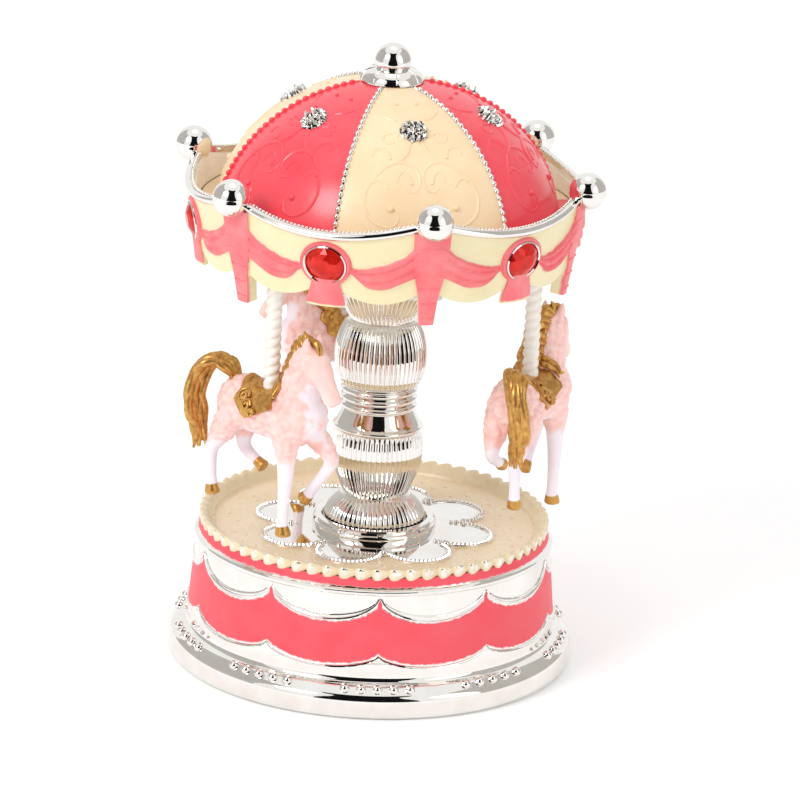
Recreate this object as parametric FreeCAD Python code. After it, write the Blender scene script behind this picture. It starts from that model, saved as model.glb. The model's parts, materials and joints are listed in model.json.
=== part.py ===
"""Carousel music box: a plated base drum with a wind-up musical movement, a turning column, a domed
canopy and three horses on twisted poles. Millimetres, +Z up, origin on the table under the column's axis,
-Y towards the front. Azimuths are counted from the front, positive towards +X."""
import FreeCAD, Part
import math
import os

V = FreeCAD.Vector
UP = V(0, 0, 1)
ORIGIN = V(0, 0, 0)

# Clearances
FIT = 0.05            # radial gap of a shaft or pin in its bore
SEAT_GAP = 0.2        # gap round a piece that drops into a seat
RUN_GAP = 0.1         # axial gap under a turning face
PIN_GAP = 0.15        # gap between the comb's tips and the circle of the cylinder's pins
END_PLAY = 0.6        # axial room beside a turning piece of the movement
HEADROOM = 0.74       # room between the movement and the deck's bush

# Screws
SCREW_R = 1.2
SCREW_HEAD_R = 2.5
SCREW_HEAD_T = 1.1
SLOT_W = 0.6
SLOT_DEPTH = 0.5
SCREW_BITE = 4.0      # length of thread in the piece that a screw holds on

# Base drum, from the foot inwards
FOOT_R = 57.0
FOOT_WALL = 2.6
FOOT_CHAMFER = 1.4
FOOT_LIP_H = 6.4
FOOT_FLARE = 5.5      # the foot stands this far outside the drum
BEAD_STEP_H = 3.0     # sloping step that carries the beads
BEAD_STEP_IN = 2.6
COVE_H = 8.6
DRUM_TAPER = 1.6
RING_H = 2.4
RING_PROUD = 0.6
BAND_H = 3.2
BAND_STEP = 1.3       # the top band stands this far inside the ring
SHELL_WALL = 2.0
LEDGE_W = 2.6         # ledge that carries the deck tray
LEDGE_T = 1.5
BOSSES = 4
BOSS_R = 3.0
BOSS_SINK = 0.8       # the bosses run this far into the drum's wall
BOSS_H = 8.0

# Base cover and its key well
COVER_T = 2.0
COVER_RECESS = 2.5
COVER_LEDGE_W = 4.0
COVER_LEDGE_T = 2.5
WELL_R = 15.0
WELL_WALL = 1.5
WELL_DEPTH = 7.5
KEY_HUB_R = 4.4
KEY_SPAN = 22.0
KEY_T = 3.0
KEY_H = 5.6
KEY_ROUND = 2.4
KEY_DROP = 1.4        # the wings reach this far below the cover
KEY_FLOOR_T = 1.0     # closed end of the key's bore
STANDOFF_R = 3.0
STANDOFF_TURNS = (-60.0, 60.0, 150.0, 210.0)   # counted from +X

# Movement
BEDPLATE_T = 1.5
BEDPLATE_GAP = 7.5    # between the bedplate's edge and the drum's wall
CLUTCH_H = 2.5
CLUTCH_R = 6.0
GEAR_MODULE = 0.8
FINE_MODULE = 0.5
PRESSURE_ANGLE = 20.0
ROOT_DEPTH = 1.2      # depth below the pitch line, in modules
GREAT_TEETH = 32
DRIVE_TEETH = 16
CROWN_TEETH = 24
CYLINDER_PINION_TEETH = 12
CYLINDER_WHEEL_TEETH = 30
FLY_PINION_TEETH = 10
BACKLASH = 0.25
FINE_BACKLASH = 0.16
CROWN_BACKLASH = 0.6
GEAR_HUB_H = 1.2
GEAR_HUB_R = 4.0
GEAR_T = 2.5
CROWN_FACE = 1.4
CROWN_DISC_T = 2.0
CROWN_HUB_T = 1.0
ARBOR_R = 2.5
ARBOR_ROOM = 0.6
BARREL_WALL = 1.0
BARREL_INSET = 1.3    # drum wall inside the great wheel's pitch line
BARREL_H = 7.7
LID_T = 1.1
SPRING_T = 0.4
SPRING_ROOM = 0.4     # gap round the mainspring
SPRING_TURNS = 6
BRIDGE_T = 1.5
BRIDGE_W = 8.0
BRIDGE_GAP = 1.0
POST_R = 2.0
POST_GAP = 0.8
CYLINDER_R = 6.0
CYLINDER_WHEEL_T = 1.5
PIN_R = 0.25
PIN_H = 0.6
PIN_ROOT = 0.3
PINS_PER_ROW = 4
PIN_STEP = 47.0       # each row of pins is turned by this angle
SHAFT_R = 1.0
BRACKET_T = 1.4
BRACKET_HALF_W = 3.0
WHEEL_GAP = 0.5       # between the cylinder's wheel and the bedplate
COMB_TEETH = 18
COMB_SLOT = 0.3
COMB_MARGIN = 0.5
COMB_T = 1.0
COMB_TOOTH_LENGTH = 11.0
COMB_BASE_W = 6.0
FLY_R = 6.0
FLY_LENGTH = 5.0
FLY_T = 0.5
FLY_WALL_GAP = 3.2    # between the fly and the drum's wall

# Deck
DECK_RECESS = 1.5     # the tray's floor lies this far below the drum's top edge
TRAY_T = 2.0
TRAY_WALL = 1.8
TRAY_LEAN = 0.8
FRILL_H = 2.6
FRILL_WAVES = 72
FRILL_WAVE = 0.45
FRILL_PROUD = 0.2
FRILL_LEAN = 1.0
ROSETTE_T = 0.6
PETALS = 8
PETAL_TIP_R = 34.5
PETAL_W = 19.0
ROSETTE_R = 24.5
PETAL_TURN = -15.0
COLLAR_GAP = 0.6
COLLAR_W = 2.7
COLLAR_H = 3.1
COLLAR_STEP = 0.9
BUSH_R = 5.0
BUSH_TAIL = 1.0
BUSH_FLANGE_R = 6.5
BUSH_FLANGE_T = 0.7
WASHER_INSET = 0.5
WASHER_T = 0.4

# Column, from the deck up: foot, lower barrel with shoulder, ring stack, upper barrel, capital
SPINDLE_R = 2.0
COLUMN_BORE_R = 6.8
COLUMN_FOOT_R = 14.1
COLUMN_FOOT_H = 9.4
FOOT_ROUND = 1.6
NECK_R = 9.3
BARREL_BULGE = 3.7    # the barrels swell this far outside the neck
LOWER_BARREL_H = 20.4
BARREL_BEAD_H = 1.4
BARREL_BEAD_PROUD = 0.5
SHOULDER_H = 4.2
SHOULDER_R = 12.3
WAIST_R = 10.0
RING_STACK_H = 6.9
RING_STACK_PROUD = 0.8
RINGS = 3
UPPER_BARREL_H = 19.3
CAPITAL_H = 20.4
CAPITAL_R = 14.6
CAPITAL_BULB_H = 10.0
CAPITAL_LIP_H = 2.0
CAPITAL_LIP_PROUD = 0.8
WEB_T = 2.0

# Canopy
LOBES = 6
CANOPY_TURN = 13.0    # azimuth of one ball at rest
FLOOR_T = 2.0
VALANCE_DROP = 1.2    # the valance hangs this far below the canopy floor
VALANCE_FOOT_R = 52.0
VALANCE_SLOPE = 0.157 # outward lean per millimetre of height
VALANCE_WALL = 2.0
VALANCE_H = 17.0      # height at the middle of a lobe
LOBE_SAG = 4.4        # the rim dips this far between two balls
VALANCE_LEDGE_W = 2.4
VALANCE_LEDGE_T = 1.5
LEDGE_MARGIN = 0.8    # lower ledge inside the holes for the floor's screws
RIM_H = 2.6
RIM_PROUD = 0.6
RIM_DEPTH = 2.8
BALL_R = 5.15
BALL_OUT = 1.5        # ball centre outside the valance's face
BALL_UP = 2.3         # ball centre above the valance's peak
STRAP_ROOT = 0.6
RIBBON_W = 9.4
RIBBON_PROUD = 0.9
RIBBON_TOP_GAP = 1.0
TAIL_W = 5.2
TAIL_DROP = 5.6
DROP_W = 10.5
DROP_H = 1.6
DROP_RISE = 4.0
FLANGE_DROP = 5.0     # the dome's flange lies this far below the rim's lowest point
DOME_FLANGE_T = 1.5
TROUGH_W = 4.0        # open trough between the dome's widest section and the valance
DOME_H = 41.0
DOME_SINK = 4.1       # dome's widest section lies this far below its flange
DOME_WALL = 1.6
DOME_HOLE_R = 3.3
JEWEL_R = 5.3
JEWEL_SIDES = 12
JEWEL_UP = 9.0        # jewel centre above the canopy floor
JEWEL_SEAT = 1.0
JEWEL_GIRDLE = 0.2
JEWEL_PROUD = 1.5
JEWEL_TABLE = 0.55    # table radius as a share of the girdle's
BEZEL_W = 1.0
MEDALLION_R = 3.2
MEDALLION_T = 1.4
MEDALLION_SEAT = 0.4
MEDALLION_POLAR = 36.0  # degrees from the dome's pole
NUT_R = 4.2
NUT_T = 3.0

# Finial
CAP_R = 8.8
CAP_LIP = 1.2
CAP_EDGE = 0.6
CAP_H = 3.6
CAP_ROOM = 0.3
FINIAL_NECK_R = 4.6
FINIAL_BALL_R = 5.1
FINIAL_BALL_RISE = 1.7  # ball centre above the cap

# Horses and poles
HORSES = 3
POLE_INSET = 9.4      # pole axis inside the valance's foot
POLE_LEAD = 3.4       # the poles stand this angle ahead of a ball
POLE_R = 2.3
POLE_LENGTH = 34.0
HORSE_YAW = (5.0, -12.0, 0.0)  # each horse's turn about its pole, positive towards the axis

# Places that follow from the sizes above
DRUM_FOOT_R = FOOT_R - FOOT_FLARE
DRUM_TOP_R = DRUM_FOOT_R - DRUM_TAPER
BAND_TOP_R = DRUM_TOP_R - BAND_STEP
DRUM_Z = FOOT_LIP_H + COVE_H
BOSS_CIRCLE_R = DRUM_FOOT_R - SHELL_WALL - BOSS_R + BOSS_SINK
COVER_Z = COVER_RECESS
COVER_TOP_Z = COVER_Z + COVER_T
COVER_R = FOOT_R - FOOT_WALL - SEAT_GAP
WELL_TOP_Z = COVER_Z + WELL_DEPTH + WELL_WALL

BEDPLATE_R = DRUM_TOP_R - SHELL_WALL - BEDPLATE_GAP
BEDPLATE_Z = WELL_TOP_Z + CLUTCH_H
BEDPLATE_TOP_Z = BEDPLATE_Z + BEDPLATE_T
GEAR_Z = BEDPLATE_TOP_Z + RUN_GAP + GEAR_HUB_H
BARREL_X = -GEAR_MODULE * (GREAT_TEETH + DRIVE_TEETH) / 2
BARREL_R = GEAR_MODULE * GREAT_TEETH / 2 - BARREL_INSET
BARREL_TOP_Z = GEAR_Z + GEAR_T + BARREL_H
BRIDGE_Z = BARREL_TOP_Z + BRIDGE_GAP
CYLINDER_Z = BEDPLATE_TOP_Z + FINE_MODULE * (CYLINDER_WHEEL_TEETH + 2) / 2 + WHEEL_GAP
CROWN_R = GEAR_MODULE * CROWN_TEETH / 2
CROWN_PITCH_Z = CYLINDER_Z + GEAR_MODULE * CYLINDER_PINION_TEETH / 2
CROWN_Z = CROWN_PITCH_Z + ROOT_DEPTH * GEAR_MODULE
CROWN_TOP_Z = CROWN_Z + CROWN_DISC_T + CROWN_HUB_T
FLY_Y = -FINE_MODULE * (CYLINDER_WHEEL_TEETH + FLY_PINION_TEETH) / 2
PINION_X = CROWN_R - CROWN_FACE / 2
INNER_BRACKET_X = PINION_X + CROWN_FACE + END_PLAY
CYLINDER_X = INNER_BRACKET_X + BRACKET_T + END_PLAY
FLY_END_X = math.sqrt((DRUM_TOP_R - SHELL_WALL - FLY_WALL_GAP) ** 2 - (FLY_R - FLY_Y) ** 2)
FLY_X = FLY_END_X - FLY_LENGTH
END_BRACKET_X = FLY_X - END_PLAY - BRACKET_T
CYLINDER_WHEEL_X = END_BRACKET_X - END_PLAY - CYLINDER_WHEEL_T
CYLINDER_LENGTH = CYLINDER_WHEEL_X - END_PLAY - CYLINDER_X
FLY_BRACKET_X = CYLINDER_WHEEL_X - END_PLAY - BRACKET_T
COMB_X = CYLINDER_X + COMB_MARGIN
COMB_PITCH = (CYLINDER_LENGTH - 2 * COMB_MARGIN) / COMB_TEETH
COMB_TIP_Y = CYLINDER_R + PIN_H + PIN_GAP
COMB_Z = CYLINDER_Z - COMB_T / 2

TRAY_Z = CROWN_TOP_Z + HEADROOM + BUSH_TAIL
DECK_Z = TRAY_Z + TRAY_T
SHELL_TOP_Z = DECK_Z + DECK_RECESS
BAND_Z = SHELL_TOP_Z - BAND_H
RING_Z = BAND_Z - RING_H
TRAY_R = BAND_TOP_R - SHELL_WALL - SEAT_GAP
ROSETTE_TOP_Z = DECK_Z + ROSETTE_T
WASHER_Z = DECK_Z + BUSH_FLANGE_T
COLUMN_Z = WASHER_Z + WASHER_T + RUN_GAP
LOWER_BARREL_Z = COLUMN_Z + COLUMN_FOOT_H
SHOULDER_Z = LOWER_BARREL_Z + LOWER_BARREL_H
RING_STACK_Z = SHOULDER_Z + SHOULDER_H
UPPER_BARREL_Z = RING_STACK_Z + RING_STACK_H
CAPITAL_Z = UPPER_BARREL_Z + UPPER_BARREL_H
FLOOR_Z = CAPITAL_Z + CAPITAL_H
FLOOR_TOP_Z = FLOOR_Z + FLOOR_T
VALANCE_Z = FLOOR_Z - VALANCE_DROP
VALANCE_MID_Z = VALANCE_Z + VALANCE_H
VALANCE_PEAK_Z = VALANCE_MID_Z + LOBE_SAG
FLANGE_Z = VALANCE_MID_Z - FLANGE_DROP
DOME_Z = FLANGE_Z - DOME_SINK
POLE_CIRCLE_R = VALANCE_FOOT_R - POLE_INSET
POLE_TURN = CANOPY_TURN - 360 / LOBES + POLE_LEAD
POLE_FOOT_Z = FLOOR_Z - POLE_LENGTH


def around(radius, azimuth, z=0.0):
    """Point at an azimuth counted from the front."""
    a = math.radians(azimuth)
    return V(radius * math.sin(a), -radius * math.cos(a), z)


def turned(shape, degrees):
    copy = shape.copy()
    copy.rotate(ORIGIN, UP, degrees)
    return copy


def face_front(shape, azimuth):
    """A shape modelled towards +X, turned to an azimuth."""
    return turned(shape, azimuth - 90.0)


def placed(shape, placement):
    copy = shape.copy()
    copy.Placement = placement.multiply(copy.Placement)
    return copy


def rod(radius, z, height, x=0.0, y=0.0):
    return Part.makeCylinder(radius, height, V(x, y, z))


def rod_x(radius, x, length, y, z):
    return Part.makeCylinder(radius, length, V(x, y, z), V(1, 0, 0))


def box(x, y, z, length, width, height):
    return Part.makeBox(length, width, height, V(x, y, z))


def ring(outer, inner, z, height, x=0.0):
    return rod(outer, z, height, x).cut(rod(inner, z, height, x))


def fuse(shapes):
    return shapes[0].multiFuse(shapes[1:]).removeSplitter()


def cut(shape, tools):
    for tool in tools:
        shape = shape.cut(tool)
    return shape


def bulge(start, via, end):
    """Arc through three points, or a spline where the arc's centre would lie beyond the axis."""
    arc = Part.Arc(start, via, end).toShape()
    if arc.Curve.Center.x > 0:
        return arc
    curve = Part.BSplineCurve()
    curve.interpolate([start, via, end])
    return curve.toShape()


def revolve(outline):
    """Turns an outline of (r, z) points round Z. A point (r, z, "via") makes a bulge through it."""
    edges = []
    start, via = None, None
    for point in list(outline) + [outline[0]]:
        place = V(point[0], 0, point[1])
        if len(point) == 3:
            via = place
            continue
        if via is not None:
            edges.append(bulge(start, via, place))
        elif start is not None:
            edges.append(Part.LineSegment(start, place).toShape())
        start, via = place, None
    return Part.Face(Part.Wire(edges)).revolve(ORIGIN, UP, 360)


def segment(outline, degrees):
    """The part of a turned outline within an angle about +X."""
    corners = [V(r, 0, z) for r, z in outline]
    face = Part.Face(Part.makePolygon(corners + corners[:1]))
    face.rotate(ORIGIN, UP, -degrees / 2)
    return face.revolve(ORIGIN, UP, degrees)


def polar(r, angle):
    return V(r * math.cos(angle), r * math.sin(angle), 0)


def gear(teeth, module, backlash, phase, thickness):
    """Involute spur gear round Z, with a tooth centred on the phase angle."""
    pitch = module * teeth / 2
    base = pitch * math.cos(math.radians(PRESSURE_ANGLE))
    tip, root = pitch + module, pitch - ROOT_DEPTH * module

    def involute(r):
        pressure = math.acos(base / r)
        return math.tan(pressure) - pressure

    half = math.pi / (2 * teeth) - backlash / (2 * pitch) + involute(pitch)
    low = max(root, base)
    flank = [low + (tip - low) * k / 4 for k in range(5)]
    side = [(root, half - involute(low))] if root < base else []
    side += [(r, half - involute(r)) for r in flank]
    points = []
    for k in range(teeth):
        centre = math.radians(phase) + 2 * math.pi * k / teeth
        points += [polar(r, centre - a) for r, a in side]
        points += [polar(r, centre + a) for r, a in reversed(side)]
    return Part.Face(Part.makePolygon(points + points[:1])).extrude(V(0, 0, thickness))


def gear_x(teeth, module, backlash, phase, thickness, x, y):
    """A gear on the cylinder's level whose axis lies along X; its phase is counted from +Y towards +Z."""
    turn = FreeCAD.Rotation(V(0, 1, 0), V(0, 0, 1), V(1, 0, 0))
    place = FreeCAD.Placement(V(x, y, CYLINDER_Z), turn)
    return placed(gear(teeth, module, backlash, phase, thickness), place)


def screw(x, y, z, length, up):
    """A pan-head screw whose head's seat is at z; its shank points up or down."""
    head = rod(SCREW_HEAD_R, z - SCREW_HEAD_T if up else z, SCREW_HEAD_T, x, y)
    shank = rod(SCREW_R - FIT, z if up else z - length, length, x, y)
    slot_z = z - SCREW_HEAD_T if up else z + SCREW_HEAD_T - SLOT_DEPTH
    slot = box(x - SCREW_HEAD_R, y - SLOT_W / 2, slot_z, 2 * SCREW_HEAD_R, SLOT_W, SLOT_DEPTH)
    return fuse([head, shank]).cut(slot)


def screws(places, z, length, up=False):
    return Part.makeCompound([screw(x, y, z, length, up) for x, y in places])


def screw_holes(places, z, depth, gap=0.0):
    return [rod(SCREW_R + gap, z, depth, x, y) for x, y in places]


# Base

def boss_places():
    return [around(BOSS_CIRCLE_R, 45 + 360 * k / BOSSES)[:2] for k in range(BOSSES)]


def standoff_places():
    reach = BEDPLATE_R - STANDOFF_R - SEAT_GAP
    return [polar(reach, math.radians(turn))[:2] for turn in STANDOFF_TURNS]


def base_shell():
    """Plated drum with a flared foot, a ledge for the deck tray and bosses for the cover's screws."""
    lip_z = FOOT_LIP_H
    step_z = lip_z + BEAD_STEP_H
    step_r = FOOT_R - BEAD_STEP_IN
    cove_mid = (DRUM_FOOT_R + 0.3 * (step_r - DRUM_FOOT_R), step_z + 0.4 * (DRUM_Z - step_z), "via")
    ring_mid = (DRUM_TOP_R + RING_PROUD, RING_Z + RING_H / 2, "via")
    wall_top = BAND_TOP_R - SHELL_WALL
    cover_ledge = COVER_R - COVER_LEDGE_W
    shell = revolve([
        (FOOT_R - FOOT_WALL, 0), (FOOT_R - FOOT_CHAMFER, 0), (FOOT_R, FOOT_CHAMFER),
        (FOOT_R - 0.25 * BEAD_STEP_IN, lip_z), (FOOT_R - 0.6 * BEAD_STEP_IN, lip_z + FIT),
        (step_r, step_z), cove_mid, (DRUM_FOOT_R, DRUM_Z), (DRUM_TOP_R, RING_Z), ring_mid,
        (DRUM_TOP_R - BAND_STEP / 3, BAND_Z), (BAND_TOP_R, SHELL_TOP_Z),
        (wall_top, SHELL_TOP_Z), (wall_top, TRAY_Z),
        (wall_top - LEDGE_W, TRAY_Z), (wall_top - LEDGE_W, TRAY_Z - LEDGE_T),
        (DRUM_TOP_R - SHELL_WALL, TRAY_Z - LEDGE_T - LEDGE_W), (DRUM_FOOT_R - SHELL_WALL, DRUM_Z),
        (cover_ledge, COVER_TOP_Z + COVER_LEDGE_T), (cover_ledge, COVER_TOP_Z),
        (FOOT_R - FOOT_WALL, COVER_TOP_Z)])
    bosses = [rod(BOSS_R, COVER_TOP_Z, BOSS_H, x, y) for x, y in boss_places()]
    return cut(fuse([shell] + bosses), screw_holes(boss_places(), COVER_TOP_Z, BOSS_H - BOSS_SINK))


def base_cover():
    """Bottom plate with the key well and the stand-offs that carry the movement."""
    plate = rod(COVER_R, COVER_Z, COVER_T)
    cup = rod(WELL_R + WELL_WALL, COVER_Z, WELL_TOP_Z - COVER_Z, BARREL_X)
    posts = [rod(STANDOFF_R, COVER_Z, BEDPLATE_Z - COVER_Z, x, y) for x, y in standoff_places()]
    holes = [rod(WELL_R, COVER_Z, WELL_DEPTH, BARREL_X)]
    holes.append(rod(ARBOR_R + ARBOR_ROOM, COVER_Z, WELL_TOP_Z - COVER_Z, BARREL_X))
    holes += screw_holes(boss_places(), COVER_Z, COVER_T, FIT)
    holes += screw_holes(standoff_places(), BEDPLATE_Z - SCREW_BITE - FIT, SCREW_BITE + FIT)
    return cut(fuse([plate, cup] + posts), holes)


def cover_screws():
    return screws(boss_places(), COVER_Z, COVER_T + SCREW_BITE, up=True)


# Deck

def tray_edge_r():
    return TRAY_R - TRAY_WALL + TRAY_LEAN


def deck_tray():
    """Cream floor that drops into the drum, with a low leaning wall."""
    bore = BUSH_R + FIT
    return revolve([
        (bore, TRAY_Z), (TRAY_R, TRAY_Z), (TRAY_R, SHELL_TOP_Z), (tray_edge_r(), SHELL_TOP_Z),
        (TRAY_R - TRAY_WALL, DECK_Z), (bore, DECK_Z)])


def frill_ring():
    """Pleated ring on the drum's edge: one arc out and one arc in for each pleat."""
    mean = BAND_TOP_R + FRILL_PROUD
    step = 360 / FRILL_WAVES
    edges = []
    for k in range(FRILL_WAVES):
        for a, out in ((k * step, FRILL_WAVE), ((k + 0.5) * step, -FRILL_WAVE)):
            middle = around(mean + out, a + step / 4)
            edges.append(Part.Arc(around(mean, a), middle, around(mean, a + step / 2)).toShape())
    frill = Part.Face(Part.Wire(edges)).extrude(V(0, 0, FRILL_H))
    frill.translate(V(0, 0, SHELL_TOP_Z))
    bore = Part.makeCone(tray_edge_r(), tray_edge_r() + FRILL_LEAN, FRILL_H, V(0, 0, SHELL_TOP_Z))
    return frill.cut(bore)


def deck_rosette():
    """Plated flower on the deck: a disc and a ring of oval petals."""
    inner = COLUMN_FOOT_R + COLLAR_GAP
    length = PETAL_TIP_R - inner
    shapes = [rod(ROSETTE_R, DECK_Z, ROSETTE_T)]
    for k in range(PETALS):
        oval = Part.Ellipse(V(inner + length / 2, 0, DECK_Z), length / 2, PETAL_W / 2)
        petal = Part.Face(Part.Wire(oval.toShape())).extrude(V(0, 0, ROSETTE_T))
        shapes.append(face_front(petal, PETAL_TURN + 360 * k / PETALS))
    return fuse(shapes).cut(rod(BUSH_FLANGE_R + SEAT_GAP, DECK_Z, ROSETTE_T))


def deck_collar():
    """Fixed ring round the column's foot."""
    inner = COLUMN_FOOT_R + COLLAR_GAP
    outer, upper = inner + COLLAR_W, inner + COLLAR_W - COLLAR_STEP
    step_z, top = ROSETTE_TOP_Z + COLLAR_H / 2, ROSETTE_TOP_Z + COLLAR_H
    return revolve([
        (inner, ROSETTE_TOP_Z), (outer, ROSETTE_TOP_Z), (outer, step_z), (upper, step_z),
        (upper, top), (inner, top)])


def deck_bush():
    """Flanged bearing in the deck for the spindle."""
    bore, foot = SPINDLE_R + FIT, TRAY_Z - BUSH_TAIL
    return revolve([
        (bore, foot), (BUSH_R, foot), (BUSH_R, DECK_Z), (BUSH_FLANGE_R, DECK_Z),
        (BUSH_FLANGE_R, WASHER_Z), (bore, WASHER_Z)])


def thrust_washer():
    return ring(BUSH_FLANGE_R - WASHER_INSET, SPINDLE_R + FIT, WASHER_Z, WASHER_T)


# Column

def hollow(outline):
    """A column piece: outline points from its foot up, closed on the column's bore."""
    return revolve(outline + [(COLUMN_BORE_R, outline[-1][1]), (COLUMN_BORE_R, outline[0][1])])


def web(z):
    return ring(COLUMN_BORE_R, SPINDLE_R + FIT, z, WEB_T)


def column_foot():
    mid = (0.3 * NECK_R + 0.7 * COLUMN_FOOT_R, COLUMN_Z + 0.55 * COLUMN_FOOT_H, "via")
    edge = (COLUMN_FOOT_R, COLUMN_Z + FOOT_ROUND)
    bulb = hollow([(COLUMN_FOOT_R - FOOT_ROUND / 2, COLUMN_Z), edge, mid, (NECK_R, LOWER_BARREL_Z)])
    return fuse([bulb, web(COLUMN_Z)])


def lower_barrel():
    mid = (NECK_R + BARREL_BULGE, LOWER_BARREL_Z + 0.6 * LOWER_BARREL_H, "via")
    bead_z = SHOULDER_Z - BARREL_BEAD_H
    return hollow([
        (NECK_R, LOWER_BARREL_Z), mid, (SHOULDER_R, bead_z),
        (SHOULDER_R + BARREL_BEAD_PROUD, bead_z + BARREL_BEAD_H / 2, "via"), (SHOULDER_R, SHOULDER_Z),
        (WAIST_R, RING_STACK_Z)])


def ring_stack():
    outline = [(WAIST_R, RING_STACK_Z)]
    step = RING_STACK_H / RINGS
    for k in range(RINGS):
        z = RING_STACK_Z + k * step
        outline += [(WAIST_R + RING_STACK_PROUD, z + step / 2, "via"), (WAIST_R, z + step)]
    return hollow(outline)


def upper_barrel():
    mid = (NECK_R + BARREL_BULGE, UPPER_BARREL_Z + 0.45 * UPPER_BARREL_H, "via")
    return hollow([(WAIST_R, UPPER_BARREL_Z), mid, (NECK_R, CAPITAL_Z)])


def column_capital():
    bulb_top = CAPITAL_Z + CAPITAL_BULB_H
    mid = (0.3 * NECK_R + 0.7 * CAPITAL_R, CAPITAL_Z + 0.45 * CAPITAL_BULB_H, "via")
    lip_r, lip_z = CAPITAL_R + CAPITAL_LIP_PROUD, FLOOR_Z - CAPITAL_LIP_H
    bulb = hollow([
        (NECK_R, CAPITAL_Z), mid, (CAPITAL_R, bulb_top), (CAPITAL_R, lip_z), (lip_r, lip_z), (lip_r, FLOOR_Z)])
    return fuse([bulb, web(FLOOR_Z - WEB_T)])


def spindle():
    """Drive shaft from the movement to the finial, and tie rod of the column."""
    return rod(SPINDLE_R, BEDPLATE_Z, finial_ball_z() - BEDPLATE_Z)


def spindle_nut():
    """Hexagon nut that clamps the canopy floor on the column."""
    corners = [around(NUT_R, 60 * k, FLOOR_TOP_Z) for k in range(7)]
    nut = Part.Face(Part.makePolygon(corners)).extrude(V(0, 0, NUT_T))
    return nut.cut(rod(SPINDLE_R + FIT, FLOOR_TOP_Z, NUT_T))


# Canopy

def valance_radius(z):
    return VALANCE_FOOT_R + VALANCE_SLOPE * (z - VALANCE_Z)


def valance_inside(z):
    return valance_radius(z) - VALANCE_WALL


def ball_azimuth(k):
    return CANOPY_TURN + 360 / LOBES * k


def lobe_azimuth(k):
    return ball_azimuth(k + 0.5)


def lobe_cylinder(lift, azimuth):
    """Round bar that lies across the rim of one lobe and gives the rim its sagging line."""
    half_chord = valance_radius(VALANCE_MID_Z) * math.sin(math.pi / LOBES)
    radius = (half_chord ** 2 + LOBE_SAG ** 2) / (2 * LOBE_SAG)
    length = 1.5 * VALANCE_FOOT_R
    bar = Part.makeCylinder(radius, length, V(0, 0, VALANCE_MID_Z + lift + radius), V(1, 0, 0))
    return face_front(bar, azimuth)


def ball(k, growth=0.0):
    radius = valance_radius(VALANCE_PEAK_Z) + BALL_OUT
    centre = around(radius, ball_azimuth(k), VALANCE_PEAK_Z + BALL_UP)
    return Part.makeSphere(BALL_R + growth, centre, around(1.0, ball_azimuth(k)))


def jewel_frame(k):
    """Placement of a jewel: its local Z points out of the valance."""
    z = FLOOR_Z + JEWEL_UP
    lean = math.degrees(math.atan(VALANCE_SLOPE))
    turn = FreeCAD.Rotation(UP, lobe_azimuth(k) - 90.0).multiply(FreeCAD.Rotation(V(0, 1, 0), 90.0 + lean))
    return FreeCAD.Placement(around(valance_radius(z), lobe_azimuth(k), z), turn)


def strap(z, top, width):
    """A raised strap on the valance, between two heights."""
    outline = [(valance_radius(z) - STRAP_ROOT, z), (valance_radius(z) + RIBBON_PROUD, z),
               (valance_radius(top) + RIBBON_PROUD, top), (valance_radius(top) - STRAP_ROOT, top)]
    return segment(outline, math.degrees(width / VALANCE_FOOT_R))


def floor_screw_r():
    """The screws' heads stand clear of the valance's wall."""
    return valance_inside(VALANCE_Z) - SEAT_GAP - SCREW_HEAD_R


def floor_screw_places():
    return [around(floor_screw_r(), POLE_TURN + 360 * (k + 0.5) / HORSES)[:2] for k in range(HORSES)]


def valance_band():
    """Turned wall with a lower ledge on the canopy floor and an upper one for the dome."""
    top_r = valance_radius(VALANCE_PEAK_Z)
    high_ledge, low_edge = valance_inside(FLANGE_Z), floor_screw_r() - SCREW_R - LEDGE_MARGIN
    under, over = FLANGE_Z - VALANCE_LEDGE_T, FLOOR_TOP_Z + VALANCE_LEDGE_T
    low_bevel, high_bevel = over + VALANCE_LEDGE_W / 2, under - VALANCE_LEDGE_W / 2
    return revolve([
        (VALANCE_FOOT_R - VALANCE_WALL, VALANCE_Z), (VALANCE_FOOT_R, VALANCE_Z), (top_r, VALANCE_PEAK_Z),
        (top_r - VALANCE_WALL, VALANCE_PEAK_Z), (high_ledge, FLANGE_Z),
        (high_ledge - VALANCE_LEDGE_W, FLANGE_Z), (high_ledge - VALANCE_LEDGE_W, under),
        (valance_inside(high_bevel), high_bevel), (valance_inside(low_bevel), low_bevel),
        (low_edge, over), (low_edge, FLOOR_TOP_Z), (valance_inside(FLOOR_TOP_Z), FLOOR_TOP_Z)])


def valance():
    """Cream skirt of the canopy, with straps under the balls and seats for the jewels."""
    ribbon = strap(VALANCE_Z, VALANCE_PEAK_Z - RIBBON_TOP_GAP, RIBBON_W)
    tail = strap(VALANCE_Z - TAIL_DROP, VALANCE_Z + STRAP_ROOT, TAIL_W)
    drop = strap(VALANCE_Z - DROP_H, VALANCE_Z + DROP_RISE, DROP_W)
    bezel = rod(JEWEL_R + BEZEL_W, -STRAP_ROOT, STRAP_ROOT + RIBBON_PROUD)
    seat = rod(JEWEL_R + FIT, -JEWEL_SEAT, JEWEL_SEAT + 2 * RIBBON_PROUD)
    shapes, tools = [valance_band()], []
    for k in range(LOBES):
        shapes += [face_front(ribbon, ball_azimuth(k)), face_front(tail, ball_azimuth(k))]
        shapes += [face_front(drop, lobe_azimuth(k)), placed(bezel, jewel_frame(k))]
        tools += [lobe_cylinder(0.0, lobe_azimuth(k)), ball(k, FIT), placed(seat, jewel_frame(k))]
    return cut(fuse(shapes), tools + screw_holes(floor_screw_places(), FLOOR_TOP_Z, VALANCE_LEDGE_T))


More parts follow.
